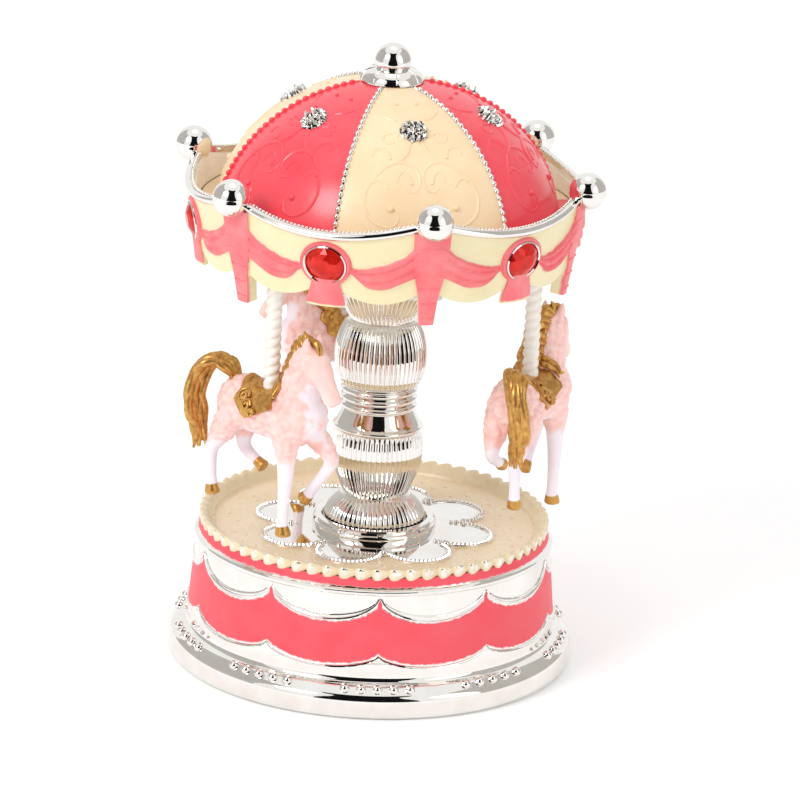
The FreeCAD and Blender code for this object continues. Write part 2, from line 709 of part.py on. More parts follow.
def crown_rim():
    """Plated rim along the valance's edge, with a ball at each peak."""
    outer = valance_radius(VALANCE_PEAK_Z) + RIM_PROUD
    low, high = VALANCE_MID_Z - RIM_H, VALANCE_PEAK_Z + 2 * RIM_H
    inner = outer - RIM_DEPTH
    wedge = segment([(inner, low), (outer, low), (outer, high), (inner, high)], 360 / LOBES)
    shapes = []
    for k in range(LOBES):
        azimuth = lobe_azimuth(k)
        band = face_front(wedge, azimuth).common(lobe_cylinder(0.0, azimuth))
        shapes += [band.cut(lobe_cylinder(RIM_H, azimuth)), ball(k)]
    return fuse(shapes)


def jewels():
    """Faceted red stones: a straight girdle under a sloping crown with a flat table."""
    wires = []
    for radius, z in ((JEWEL_R, -JEWEL_SEAT), (JEWEL_R, JEWEL_GIRDLE), (JEWEL_TABLE * JEWEL_R, JEWEL_PROUD)):
        corners = [polar(radius, 2 * math.pi * i / JEWEL_SIDES) + V(0, 0, z) for i in range(JEWEL_SIDES)]
        wires.append(Part.makePolygon(corners + corners[:1]))
    stone = Part.makeLoft(wires, True, True)
    return Part.makeCompound([placed(stone, jewel_frame(k)) for k in range(LOBES)])


def dome_r():
    return valance_inside(FLANGE_Z) - TROUGH_W


def dome_height(r, inset=0.0):
    """Height of the dome's surface at a radius."""
    return DOME_Z + (DOME_H - inset) * math.sqrt(1 - (r / (dome_r() - inset)) ** 2)


def dome_curve(first_polar, last_polar, inset):
    """Edge of the dome's outline between two angles from its pole."""
    points = []
    for i in range(7):
        t = math.radians(first_polar + (last_polar - first_polar) * i / 6)
        points.append(V((dome_r() - inset) * math.sin(t), 0, DOME_Z + (DOME_H - inset) * math.cos(t)))
    curve = Part.BSplineCurve()
    curve.interpolate(points)
    return curve.toShape()


def polar_of_height(z, inset):
    return math.degrees(math.acos((z - DOME_Z) / (DOME_H - inset)))


def polar_of_radius(r, inset):
    return math.degrees(math.asin(r / (dome_r() - inset)))


def dome():
    """Domed roof with a flat flange that rests on the valance's ledge."""
    flange_r = valance_inside(FLANGE_Z) - SEAT_GAP
    flange_top = FLANGE_Z + DOME_FLANGE_T
    outer = dome_curve(polar_of_radius(DOME_HOLE_R, 0), polar_of_height(flange_top, 0), 0)
    hole_polar, foot_polar = polar_of_radius(DOME_HOLE_R, DOME_WALL), polar_of_height(FLANGE_Z, DOME_WALL)
    inner = dome_curve(hole_polar, foot_polar, DOME_WALL)
    rim = [V(flange_r, 0, flange_top), V(flange_r, 0, FLANGE_Z)]
    path = [outer.Vertexes[-1].Point] + rim + [inner.Vertexes[-1].Point]
    edges = [Part.LineSegment(a, b).toShape() for a, b in zip(path, path[1:])]
    edges += [outer, inner, Part.LineSegment(outer.Vertexes[0].Point, inner.Vertexes[0].Point).toShape()]
    shell = Part.Face(Part.Wire(Part.__sortEdges__(edges))).revolve(ORIGIN, UP, 360)
    seat = rod(MEDALLION_R + FIT, -MEDALLION_SEAT, MEDALLION_SEAT + MEDALLION_T)
    return cut(shell, [placed(seat, medallion_frame(k)) for k in range(LOBES)])


def medallion_frame(k):
    """Placement of a medallion: its local Z points out of the dome."""
    t = math.radians(MEDALLION_POLAR)
    slope = math.degrees(math.atan2(math.sin(t) / dome_r(), math.cos(t) / DOME_H))
    turn = FreeCAD.Rotation(UP, ball_azimuth(k) - 90.0).multiply(FreeCAD.Rotation(V(0, 1, 0), slope))
    place = around(dome_r() * math.sin(t), ball_azimuth(k), DOME_Z + DOME_H * math.cos(t))
    return FreeCAD.Placement(place, turn)


def dome_medallions():
    """Plated flower studs, one on each panel of the dome."""
    stud = Part.makeCone(MEDALLION_R, 0.7 * MEDALLION_R, MEDALLION_T, V(0, 0, -MEDALLION_SEAT))
    return Part.makeCompound([placed(stud, medallion_frame(k)) for k in range(LOBES)])


def canopy_floor():
    """Plate that carries the poles, under the valance's lower ledge."""
    holes = [rod(SPINDLE_R + FIT, FLOOR_Z, FLOOR_T)]
    holes += screw_holes(pole_places() + floor_screw_places(), FLOOR_Z, FLOOR_T)
    return cut(rod(valance_inside(FLOOR_Z) - SEAT_GAP, FLOOR_Z, FLOOR_T), holes)


def canopy_screws():
    return screws(floor_screw_places(), FLOOR_Z, FLOOR_T + VALANCE_LEDGE_T - FIT, up=True)


def cap_foot_z():
    """Height at which the finial's cap meets the dome."""
    return dome_height(CAP_R - CAP_LIP) + FIT


def finial_ball_z():
    return cap_foot_z() + CAP_H + FINIAL_BALL_RISE


def finial():
    """Plated cap and ball, screwed on the spindle to clamp the dome."""
    foot, rim = cap_foot_z(), CAP_R - CAP_LIP
    room, neck = dome_height(0.0) + CAP_ROOM, foot + CAP_H
    shoulder = (0.5 * (CAP_R + FINIAL_NECK_R), foot + 0.75 * CAP_H, "via")
    cap = revolve([
        (0, room), (rim, room), (rim, foot), (CAP_R, foot), (CAP_R, foot + CAP_EDGE), shoulder,
        (FINIAL_NECK_R, neck), (0, neck)])
    knob = Part.makeSphere(FINIAL_BALL_R, V(0, 0, finial_ball_z()))
    return fuse([cap, knob]).cut(rod(SPINDLE_R + FIT, FLANGE_Z, finial_ball_z() + FIT - FLANGE_Z))


# Poles and horses

def pole_azimuth(k):
    return POLE_TURN + 360 * k / HORSES


def pole_places():
    return [around(POLE_CIRCLE_R, pole_azimuth(k))[:2] for k in range(HORSES)]


def pole(k):
    place = [pole_places()[k]]
    x, y = place[0]
    hole = screw_holes(place, FLOOR_Z - SCREW_BITE - FIT, SCREW_BITE + FIT)
    return cut(rod(POLE_R, POLE_FOOT_Z, POLE_LENGTH, x, y), hole)


def pole_screws():
    return screws(pole_places(), FLOOR_TOP_Z, FLOOR_T + SCREW_BITE)


# The horse's own sizes: x forwards and y to its left from the pole's axis, z from the pole's foot
TORSO = ((-15.2, -3.8, 4.2, 4.0), (-12.4, -4.2, 7.1, 6.9), (-7.0, -5.2, 7.5, 7.4), (0.0, -5.8, 7.2, 7.1),
         (7.0, -5.2, 8.0, 7.8), (12.5, -4.4, 7.4, 7.0), (17.0, -4.0, 4.2, 4.0))
NECK = (((9.6, 0.0, -4.0, 6.6), (11.0, 0.0, 3.0, 5.6), (12.2, 0.0, 9.5, 4.4), (13.4, 0.0, 14.4, 3.4)),)
HEAD = (((12.2, 0.0, 14.4, 2.6), (15.0, 0.0, 12.6, 3.7), (18.2, 0.0, 8.4, 3.2), (21.2, 0.0, 4.2, 2.4),
         (22.9, 0.0, 1.6, 1.8)),)
TAIL = (((-12.0, 0.0, -1.0, 1.6), (-14.4, -1.4, 5.2, 1.9), (-18.2, -3.8, 6.2, 2.3), (-21.2, -6.0, 0.5, 2.8),
         (-21.0, -6.8, -8.5, 2.8), (-19.6, -5.6, -18.0, 1.2)),)
MANE = (((15.4, 0.0, 16.6, 1.0), (11.6, 0.0, 16.4, 2.0), (8.4, 0.0, 11.0, 2.1), (6.6, 0.0, 5.2, 2.0),
         (4.8, 0.0, 1.0, 1.2)),)
FORE_LEG = (((8.6, -3.8, -6.0, 3.8), (9.5, -4.3, -15.0, 2.6), (9.5, -4.5, -24.0, 1.9), (9.2, -4.5, -33.0, 1.5),
             (9.1, -4.5, -35.2, 1.7), (9.4, -4.5, -38.0, 2.2)),)
RAISED_FORE_LEG = (((10.0, 3.8, -6.5, 3.8), (15.0, 4.4, -11.6, 2.8), (18.6, 4.5, -15.6, 2.0)),
                   ((18.6, 4.5, -15.6, 2.0), (14.4, 4.5, -22.4, 1.6), (10.6, 4.5, -27.2, 1.6),
                    (8.6, 4.5, -30.0, 2.1)))
HIND_LEG = (((-9.4, -3.8, -6.0, 4.4), (-13.0, -4.3, -13.0, 3.2), (-17.2, -4.5, -19.0, 2.1)),
            ((-17.2, -4.5, -19.0, 2.1), (-16.8, -4.5, -26.0, 1.6), (-16.6, -4.5, -29.0, 1.7),
             (-16.2, -4.5, -32.0, 2.2)))
BENT_HIND_LEG = (((-9.0, 3.8, -6.0, 4.4), (-12.0, 4.3, -12.8, 3.1), (-13.4, 4.5, -18.6, 2.0)),
                 ((-13.4, 4.5, -18.6, 2.0), (-9.6, 4.5, -21.8, 1.6), (-5.2, 4.5, -24.2, 2.1)))
EARS = ((12.6, -1.7, 15.6), (12.6, 1.7, 15.6))
EAR_R, EAR_TIP_R, EAR_H, EAR_LEAN = 1.1, 0.25, 3.0, 0.15
SADDLE_GROW = 0.7
SADDLE_BACK, SADDLE_FRONT, SADDLE_FOOT = -6.0, 5.4, -6.0


def limb(runs):
    """Lofts through circles at (x, y, z, radius). Runs that meet at a sharp bend share a ball there."""
    shapes = []
    for number, run in enumerate(runs):
        wires = []
        for i, (x, y, z, radius) in enumerate(run):
            before, after = V(*run[max(i - 1, 0)][:3]), V(*run[min(i + 1, len(run) - 1)][:3])
            wires.append(Part.Wire(Part.makeCircle(radius, V(x, y, z), after - before)))
        shapes.append(Part.makeLoft(wires, True, False))
        if number:
            x, y, z, radius = run[0]
            shapes.append(Part.makeSphere(radius + FIT, V(x, y, z)))
    return shapes


def torso(grow=0.0):
    """Loft through upright ovals at (x, z, half height, half width)."""
    upright = FreeCAD.Rotation(V(0, 0, 1), V(0, 1, 0), V(-1, 0, 0))
    wires = []
    for x, z, half_height, half_width in TORSO:
        oval = Part.Wire(Part.Ellipse(ORIGIN, half_height + grow, half_width + grow).toShape())
        wires.append(placed(oval, FreeCAD.Placement(V(x, 0, z), upright)))
    return Part.makeLoft(wires, True, False)


def saddle():
    half_width = max(station[3] for station in TORSO) + 2 * SADDLE_GROW
    length, width = SADDLE_FRONT - SADDLE_BACK, 2 * half_width
    return torso(SADDLE_GROW).common(box(SADDLE_BACK, -half_width, SADDLE_FOOT, length, width, width))


def horse_model():
    """Moulded horse facing +X, with a socket in the saddle for the pole."""
    shapes = [torso(), saddle()]
    for runs in (NECK, HEAD, TAIL, MANE, FORE_LEG, RAISED_FORE_LEG, HIND_LEG, BENT_HIND_LEG):
        shapes += limb(runs)
    for x, y, z in EARS:
        shapes.append(Part.makeCone(EAR_R, EAR_TIP_R, EAR_H, V(x, y, z), V(0, EAR_LEAN * y, 1)))
    return shapes[0].multiFuse(shapes[1:]).cut(rod(POLE_R + FIT, 0.0, POLE_LENGTH))


def horse(k, model):
    """A copy of the horse under one pole, facing the way the carousel turns."""
    turn = FreeCAD.Rotation(UP, pole_azimuth(k) + HORSE_YAW[k % len(HORSE_YAW)])
    x, y = pole_places()[k]
    return placed(model, FreeCAD.Placement(V(x, y, POLE_FOOT_Z), turn))


# Movement

def bedplate():
    holes = [rod(SPINDLE_R + FIT, BEDPLATE_Z, BEDPLATE_T), rod(ARBOR_R + FIT, BEDPLATE_Z, BEDPLATE_T, BARREL_X)]
    holes += screw_holes(standoff_places(), BEDPLATE_Z, BEDPLATE_T, FIT)
    return cut(rod(BEDPLATE_R, BEDPLATE_Z, BEDPLATE_T), holes)


def movement_screws():
    return screws(standoff_places(), BEDPLATE_TOP_Z, BEDPLATE_T + SCREW_BITE)


def one_way_clutch():
    """Housing of the clutch that lets the key wind the spring and holds it from running back."""
    return ring(CLUTCH_R, ARBOR_R + FIT, BEDPLATE_Z - CLUTCH_H, CLUTCH_H, BARREL_X)


def key_hub_z():
    return COVER_Z + KEY_DROP


def winding_arbor():
    foot = key_hub_z() + KEY_FLOOR_T
    return rod(ARBOR_R, foot, BRIDGE_Z + BRIDGE_T + ARBOR_ROOM - foot, BARREL_X)


def winding_key():
    """Wing key in the well under the base."""
    hub_h = WELL_DEPTH - KEY_DROP - END_PLAY
    hub = rod(KEY_HUB_R, key_hub_z(), hub_h, BARREL_X)
    wing = box(BARREL_X - KEY_SPAN / 2, -KEY_T / 2, COVER_Z - KEY_DROP, KEY_SPAN, KEY_T, KEY_H)
    ends = [e for e in wing.Edges if abs(e.Vertexes[0].Point.y - e.Vertexes[-1].Point.y) > KEY_T / 2]
    wing = wing.makeFillet(min(KEY_ROUND, 0.45 * KEY_H), ends)
    bore = rod(ARBOR_R + FIT, key_hub_z() + KEY_FLOOR_T, hub_h, BARREL_X)
    return fuse([hub, wing]).cut(bore)


def spring_barrel():
    """Great wheel with the drum that holds the mainspring."""
    wheel = gear(GREAT_TEETH, GEAR_MODULE, BACKLASH, 0.0, GEAR_T)
    wheel.translate(V(BARREL_X, 0, GEAR_Z))
    hub = rod(GEAR_HUB_R, GEAR_Z - GEAR_HUB_H, GEAR_HUB_H, BARREL_X)
    wall = ring(BARREL_R, BARREL_R - BARREL_WALL, GEAR_Z + GEAR_T, BARREL_H, BARREL_X)
    bore = rod(ARBOR_R + FIT, GEAR_Z - GEAR_HUB_H, GEAR_HUB_H + GEAR_T, BARREL_X)
    return fuse([wheel, hub, wall]).cut(bore)


def barrel_lid():
    return ring(BARREL_R - BARREL_WALL - FIT, ARBOR_R + FIT, BARREL_TOP_Z - LID_T, LID_T, BARREL_X)


def spiral_edges(first_r, step):
    """Half circles about two centres, each half turn wider than the last by one step."""
    edges = []
    for i in range(2 * SPRING_TURNS):
        centre, side = (0.0, 1) if i % 2 == 0 else (step, -1)
        r = first_r + i * step
        ends = [V(centre + side * r, 0, 0), V(centre, side * r, 0), V(centre - side * r, 0, 0)]
        edges.append(Part.Arc(*ends).toShape())
    return edges


def mainspring():
    """Flat spiral strip from beside the arbor out to the drum's wall."""
    first_r = ARBOR_R + SPRING_ROOM
    last_r = BARREL_R - BARREL_WALL - SPRING_ROOM - SPRING_T
    step = (last_r - first_r) / (2 * SPRING_TURNS)
    inside, outside = spiral_edges(first_r, step), spiral_edges(first_r + SPRING_T, step)
    ends = [Part.LineSegment(a.Vertexes[i].Point, b.Vertexes[i].Point).toShape()
            for a, b, i in ((inside[0], outside[0], 0), (inside[-1], outside[-1], -1))]
    wire = Part.Wire(Part.__sortEdges__(inside + outside + ends))
    band = Part.Face(wire).extrude(V(0, 0, BARREL_H - LID_T - 2 * SPRING_ROOM))
    band.translate(V(BARREL_X, 0, GEAR_Z + GEAR_T + SPRING_ROOM))
    return band


def drive_gear():
    """Pinion on the spindle, turned by the great wheel; its hub runs on the bedplate."""
    wheel = gear(DRIVE_TEETH, GEAR_MODULE, BACKLASH, 180 / DRIVE_TEETH, GEAR_T)
    wheel.translate(V(0, 0, GEAR_Z))
    hub = rod(GEAR_HUB_R, GEAR_Z - GEAR_HUB_H, GEAR_HUB_H)
    return fuse([wheel, hub]).cut(rod(SPINDLE_R + FIT, GEAR_Z - GEAR_HUB_H, GEAR_HUB_H + GEAR_T))


def crown_wheel():
    """Contrate wheel on the spindle: its teeth point down into the cylinder's pinion."""
    tip_z = CROWN_PITCH_Z - GEAR_MODULE
    half = (math.pi * GEAR_MODULE / 2 - CROWN_BACKLASH) / 2
    lean = math.tan(math.radians(PRESSURE_ANGLE))
    wide, narrow = half + lean * (CROWN_Z + FIT - CROWN_PITCH_Z), half - lean * GEAR_MODULE
    corners = [V(PINION_X, y, z) for y, z in
               ((-narrow, tip_z), (narrow, tip_z), (wide, CROWN_Z + FIT), (-wide, CROWN_Z + FIT))]
    tooth = Part.Face(Part.makePolygon(corners + corners[:1])).extrude(V(CROWN_FACE, 0, 0))
    disc = rod(PINION_X + CROWN_FACE + SEAT_GAP, CROWN_Z, CROWN_DISC_T)
    hub = rod(GEAR_HUB_R, CROWN_Z, CROWN_TOP_Z - CROWN_Z)
    teeth = [turned(tooth, 360 * k / CROWN_TEETH) for k in range(CROWN_TEETH)]
    return fuse([disc, hub] + teeth).cut(rod(SPINDLE_R + FIT, CROWN_Z, CROWN_TOP_Z - CROWN_Z))


def post_places():
    reach = GEAR_MODULE * (GREAT_TEETH + 2) / 2 + POST_R + POST_GAP
    return [(BARREL_X, -reach), (BARREL_X, reach)]


def barrel_posts():
    posts = [rod(POST_R, BEDPLATE_TOP_Z, BRIDGE_Z - BEDPLATE_TOP_Z, x, y) for x, y in post_places()]
    holes = screw_holes(post_places(), BRIDGE_Z - SCREW_BITE - FIT, SCREW_BITE + FIT)
    return Part.makeCompound([post.cut(hole) for post, hole in zip(posts, holes)])


def barrel_bridge():
    """Bar over the spring barrel, with the arbor's upper bearing."""
    reach = post_places()[1][1] + SCREW_HEAD_R
    bar = box(BARREL_X - BRIDGE_W / 2, -reach, BRIDGE_Z, BRIDGE_W, 2 * reach, BRIDGE_T)
    holes = screw_holes(post_places(), BRIDGE_Z, BRIDGE_T, FIT)
    return cut(bar, holes + [rod(ARBOR_R + FIT, BRIDGE_Z, BRIDGE_T, BARREL_X)])


def bridge_screws():
    return screws(post_places(), BRIDGE_Z + BRIDGE_T, BRIDGE_T + SCREW_BITE)


def music_cylinder():
    """Pinned drum: rows of pins, placed by a stepping rule, pass before the comb's teeth."""
    pins = []
    for row in range(COMB_TEETH):
        for n in range(PINS_PER_ROW):
            out = placed(Part.Vertex(V(0, 1, 0)), turn_about_x(360 / PINS_PER_ROW * n + PIN_STEP * row)).Point
            foot = V(COMB_X + COMB_PITCH * (row + 0.5), 0, CYLINDER_Z) + out * (CYLINDER_R - PIN_ROOT)
            pins.append(Part.makeCylinder(PIN_R, PIN_H + PIN_ROOT, foot, out))
    drum = rod_x(CYLINDER_R, CYLINDER_X, CYLINDER_LENGTH, 0, CYLINDER_Z)
    return drum.multiFuse(pins).cut(rod_x(SHAFT_R + FIT, CYLINDER_X, CYLINDER_LENGTH, 0, CYLINDER_Z))


def turn_about_x(degrees):
    return FreeCAD.Placement(ORIGIN, FreeCAD.Rotation(V(1, 0, 0), degrees))


def cylinder_shaft():
    start = PINION_X - END_PLAY / 2
    return rod_x(SHAFT_R, start, END_BRACKET_X + BRACKET_T + END_PLAY / 2 - start, 0, CYLINDER_Z)


def cylinder_pinion():
    half_pitch = 180 / CYLINDER_PINION_TEETH
    wheel = gear_x(CYLINDER_PINION_TEETH, GEAR_MODULE, BACKLASH, half_pitch, CROWN_FACE, PINION_X, 0)
    return wheel.cut(rod_x(SHAFT_R + FIT, PINION_X, CROWN_FACE, 0, CYLINDER_Z))


def cylinder_wheel():
    wheel = gear_x(CYLINDER_WHEEL_TEETH, FINE_MODULE, FINE_BACKLASH, 0.0, CYLINDER_WHEEL_T, CYLINDER_WHEEL_X, 0)
    return wheel.cut(rod_x(SHAFT_R + FIT, CYLINDER_WHEEL_X, CYLINDER_WHEEL_T, 0, CYLINDER_Z))


def bracket(x, bores):
    """Upright plate on the bedplate with a bearing for each arbor in it."""
    low, high = min(bores) - BRACKET_HALF_W, max(bores) + BRACKET_HALF_W
    height = CYLINDER_Z + BRACKET_HALF_W - BEDPLATE_TOP_Z
    plate = box(x, low, BEDPLATE_TOP_Z, BRACKET_T, high - low, height)
    return cut(plate, [rod_x(SHAFT_R + FIT, x, BRACKET_T, y, CYLINDER_Z) for y in bores])


def inner_bracket():
    return bracket(INNER_BRACKET_X, [0.0])


def end_bracket():
    return bracket(END_BRACKET_X, [FLY_Y, 0.0])


def fly_bracket():
    return bracket(FLY_BRACKET_X, [FLY_Y])


def fly_arbor():
    """Last arbor of the train, with its pinion."""
    start = FLY_BRACKET_X - END_PLAY / 2
    shaft = rod_x(SHAFT_R, start, FLY_END_X - start, FLY_Y, CYLINDER_Z)
    pinion = gear_x(FLY_PINION_TEETH, FINE_MODULE, FINE_BACKLASH, 180 / FLY_PINION_TEETH, CYLINDER_WHEEL_T,
                    CYLINDER_WHEEL_X, FLY_Y)
    return fuse([shaft, pinion])


def fly_vane():
    """Air brake: two thin blades on a sleeve."""
    sleeve = rod_x(2 * SHAFT_R, FLY_X, FLY_LENGTH, FLY_Y, CYLINDER_Z)
    blade = box(FLY_X, FLY_Y - FLY_R, CYLINDER_Z - FLY_T / 2, FLY_LENGTH, 2 * FLY_R, FLY_T)
    return fuse([sleeve, blade]).cut(rod_x(SHAFT_R + FIT, FLY_X, FLY_LENGTH, FLY_Y, CYLINDER_Z))


def comb_base_y():
    return COMB_TIP_Y + COMB_TOOTH_LENGTH


def comb_screw_places():
    y = comb_base_y() + COMB_BASE_W / 2
    return [(COMB_X + COMB_PITCH * COMB_TEETH * share, y) for share in (0.2, 0.8)]


def comb():
    """Steel comb: one tuned tooth for each row of pins, longer towards the low notes."""
    plate = box(COMB_X, COMB_TIP_Y, COMB_Z, COMB_PITCH * COMB_TEETH, COMB_TOOTH_LENGTH + COMB_BASE_W, COMB_T)
    slots = []
    for k in range(1, COMB_TEETH):
        x = COMB_X + COMB_PITCH * k - COMB_SLOT / 2
        length = COMB_TOOTH_LENGTH * (1.0 - 0.5 * k / COMB_TEETH)
        slots.append(box(x, COMB_TIP_Y, COMB_Z, COMB_SLOT, length, COMB_T))
    return cut(plate, slots + screw_holes(comb_screw_places(), COMB_Z, COMB_T, FIT))


def comb_rest():
    """Block on the bedplate that the comb is screwed to."""
    length, height = COMB_PITCH * COMB_TEETH, COMB_Z - BEDPLATE_TOP_Z
    block = box(COMB_X, comb_base_y(), BEDPLATE_TOP_Z, length, COMB_BASE_W, height)
    return cut(block, screw_holes(comb_screw_places(), COMB_Z - SCREW_BITE - FIT, SCREW_BITE + FIT))


def comb_screws():
    return screws(comb_screw_places(), COMB_Z + COMB_T, COMB_T + SCREW_BITE)


BASE_PIECES = (base_shell, base_cover, cover_screws, deck_tray, frill_ring, deck_rosette, deck_collar, deck_bush,
               thrust_washer)
MOVEMENT_PIECES = (bedplate, movement_screws, one_way_clutch, barrel_posts, barrel_bridge, bridge_screws,
                   inner_bracket, end_bracket, fly_bracket, comb, comb_rest, comb_screws, winding_key,
                   winding_arbor, spring_barrel, barrel_lid, mainspring, music_cylinder, cylinder_shaft,
                   cylinder_pinion, cylinder_wheel, fly_arbor, fly_vane)
CAROUSEL_PIECES = (spindle, drive_gear, crown_wheel, spindle_nut, column_foot, lower_barrel, ring_stack,
                   upper_barrel, column_capital, canopy_floor, canopy_screws, valance, crown_rim, jewels, dome,
                   dome_medallions, finial, pole_screws)


def export(name, shape):
    shape.exportStep(f"parts/{name}.step")
    print(f"{name}: {len(shape.Solids)} solids, valid {shape.isValid()}, volume {shape.Volume:.1f}")


def main():
    os.makedirs("parts", exist_ok=True)
    for piece in BASE_PIECES + MOVEMENT_PIECES + CAROUSEL_PIECES:
        export(piece.__name__, piece())
    model = horse_model()
    for k in range(HORSES):
        export(f"pole_{k + 1}", pole(k))
        export(f"horse_{k + 1}", horse(k, model))


main()
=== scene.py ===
# %% [markdown]
# # A wind-up carousel
# The toy stands on a plated base drum with a musical movement inside. A plated column turns on the deck
# and carries a domed canopy with three horses on twisted poles. The CAD frame gives every place and size,
# and this lesson dresses it: each piece is modelled over its node, in the same frame, and rides on the
# node's body.

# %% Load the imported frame
import bpy
import bmesh
import json
import math
from mathutils import Matrix, Quaternion, Vector, noise


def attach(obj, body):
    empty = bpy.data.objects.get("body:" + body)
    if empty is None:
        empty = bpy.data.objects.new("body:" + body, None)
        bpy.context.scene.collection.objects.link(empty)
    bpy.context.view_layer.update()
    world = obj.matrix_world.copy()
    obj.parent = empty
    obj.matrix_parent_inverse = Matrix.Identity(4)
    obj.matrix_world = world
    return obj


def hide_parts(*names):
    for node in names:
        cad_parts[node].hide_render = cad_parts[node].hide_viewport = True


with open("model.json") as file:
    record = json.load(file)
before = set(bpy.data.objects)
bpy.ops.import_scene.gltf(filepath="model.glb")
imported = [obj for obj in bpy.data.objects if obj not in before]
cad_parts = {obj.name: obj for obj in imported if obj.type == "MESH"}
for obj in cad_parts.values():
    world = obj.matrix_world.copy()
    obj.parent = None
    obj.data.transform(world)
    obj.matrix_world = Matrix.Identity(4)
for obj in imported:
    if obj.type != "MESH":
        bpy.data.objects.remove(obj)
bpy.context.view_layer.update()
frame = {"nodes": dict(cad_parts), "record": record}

# %% [markdown]
# ## The camera
# The photograph was taken from the front, a little above, with a long lens and a slight roll. A camera
# could be pushed about by hand until it fits. Here its place comes from measured points of the base and
# the canopy, so the numbers are written down once and the lens needs no shift.

# %% Camera
MM = 0.001
ELEVATION, CAMERA_ROLL = math.radians(17.36), math.radians(2.46)
EYE_DISTANCE = 1313.4
EYE_TARGET, AIM = Vector((0, 0, 85.0)), Vector((5.84, -3.20, 74.76))
SENSOR, FOCAL_PIXELS, FRAME_PIXELS = 36.0, 4714.6, 800


def into_scene(name, data):
    """Links a new object to the scene."""
    thing = bpy.data.objects.new(name, data)
    bpy.context.scene.collection.objects.link(thing)
    return thing


forward = Vector((0, math.cos(ELEVATION), -math.sin(ELEVATION)))
eye = EYE_TARGET - forward * EYE_DISTANCE
lens = bpy.data.cameras.new("camera")
lens.sensor_width = SENSOR
lens.lens = SENSOR * FOCAL_PIXELS / FRAME_PIXELS
camera = into_scene("camera", lens)
camera.location = eye * MM
camera.rotation_mode = "QUATERNION"
camera.rotation_quaternion = (AIM - eye).to_track_quat("-Z", "Y") @ Quaternion((0, 0, 1), CAMERA_ROLL)
bpy.context.scene.camera = camera
print("camera at", [round(v, 1) for v in eye], "mm, lens", round(lens.lens, 1), "mm")

# %% [markdown]
# ## Adding nodes
# A material is a small graph. One function adds a node, sets its options and joins its inputs, so that
# each finish below reads as a list of what it does. Colours are written as on a paint chart, in sRGB hex,
# and one function turns them into the linear values that the shader works with.

# %% Node helpers
def linear(chart):
    """A chart colour such as "F96B7F" as linear red, green, blue and alpha."""
    shares = [int(chart[i:i + 2], 16) / 255 for i in (0, 2, 4)]
    return tuple(s / 12.92 if s <= 0.04045 else ((s + 0.055) / 1.055) ** 2.4 for s in shares) + (1.0,)


def add(tree, kind, inputs=None, **settings):
    """Adds a node. An input is a value, or another node's output socket to join to it."""
    node = tree.nodes.new("ShaderNode" + kind)
    for name, value in settings.items():
        setattr(node, name, value)
    for name, value in (inputs or {}).items():
        if isinstance(value, bpy.types.NodeSocket):
            tree.links.new(value, node.inputs[name])
        else:
            node.inputs[name].default_value = value
    return node


def new_finish(name, slot):
    """An empty material that remembers the record's slot it belongs to."""
    finish = bpy.data.materials.new(name)
    finish.use_nodes = True
    finish.node_tree.nodes.clear()
    finish["slot"] = slot
    return finish, finish.node_tree


def surface(tree, **inputs):
    """The shader and the output. Names are the shader's sockets with _ for a space."""
    named = {name.replace("_", " "): value for name, value in inputs.items()}
    shader = add(tree, "BsdfPrincipled", named)
    add(tree, "OutputMaterial", {"Surface": shader.outputs[0]})


def noise_field(tree, size, detail=2.0):
    """Noise in Object coordinates with features of a size in millimetres."""
    coords = add(tree, "TexCoord").outputs["Object"]
    return add(tree, "TexNoise", {"Vector": coords, "Scale": 1.0 / (size * MM),
                                  "Detail": detail}).outputs["Fac"]


def mapped(tree, value, low, high, to_low=0.0, to_high=1.0):
    """Maps a value's range to another one and holds it there."""
    return add(tree, "MapRange", {"Value": value, "From Min": low, "From Max": high, "To Min": to_low,
                                  "To Max": to_high}).outputs["Result"]


def span(tree, field, low, high):
    """Spreads a noise, which mostly stays between 0.3 and 0.7, over a range."""
    return mapped(tree, field, 0.3, 0.7, low, high)


def mix(tree, share, first, second):
    """Mixes two numbers."""
    return add(tree, "Mix", {0: share, 2: first, 3: second}).outputs[0]


def blend_colours(tree, share, first, second):
    """Mixes two colours; each is a chart colour or a socket."""
    first, second = (linear(tone) if isinstance(tone, str) else tone for tone in (first, second))
    return add(tree, "Mix", {0: share, 6: first, 7: second}, data_type="RGBA").outputs[2]


def bump(tree, height, depth):
    """A bump whose full height is a depth in millimetres."""
    return add(tree, "Bump", {"Height": height, "Strength": 1.0, "Distance": depth * MM}).outputs["Normal"]


print("helpers ready")

# %% [markdown]
# ## Bright plating
# The silver parts are ABS with a vacuum-deposited metal film under a clear lacquer. The eye sees a mirror
# with a faint warm cast, slight waviness from the moulding and soft haze where fingers dulled it. So the
# finish is a metal of low roughness, with a wide noise for the haze and a shallow bump for the waviness.

# %% Plated plastic
CLEAN_PLATE, HAZY_PLATE = "F2F0ED", "EAE6E0"
HAZE_SIZE, RIPPLE_SIZE, RIPPLE_DEPTH = 9.0, 2.6, 0.003

BRIGHT_PLATING, plating = new_finish("vacuum_plated_abs", "plated_plastic")
haze = noise_field(plating, HAZE_SIZE, 3.0)
surface(plating, Base_Color=blend_colours(plating, span(plating, haze, 0, 1), CLEAN_PLATE, HAZY_PLATE),
        Metallic=1.0, Roughness=span(plating, haze, 0.025, 0.06),
        Normal=bump(plating, noise_field(plating, RIPPLE_SIZE), RIPPLE_DEPTH))
print("plating:", BRIGHT_PLATING.name)

# %% [markdown]
# ## Sprayed and brushed colour
# Pink and cream are laid over another surface through a stencil, so a coloured piece is one moulding with
# two finishes. A stencil could be an image, but then its edge would blur. Here each vertex stores how far
# inside the colour it lies, in millimetres, and the shader turns that distance into an edge, ragged by a
# fine noise where the spray crept under the stencil.

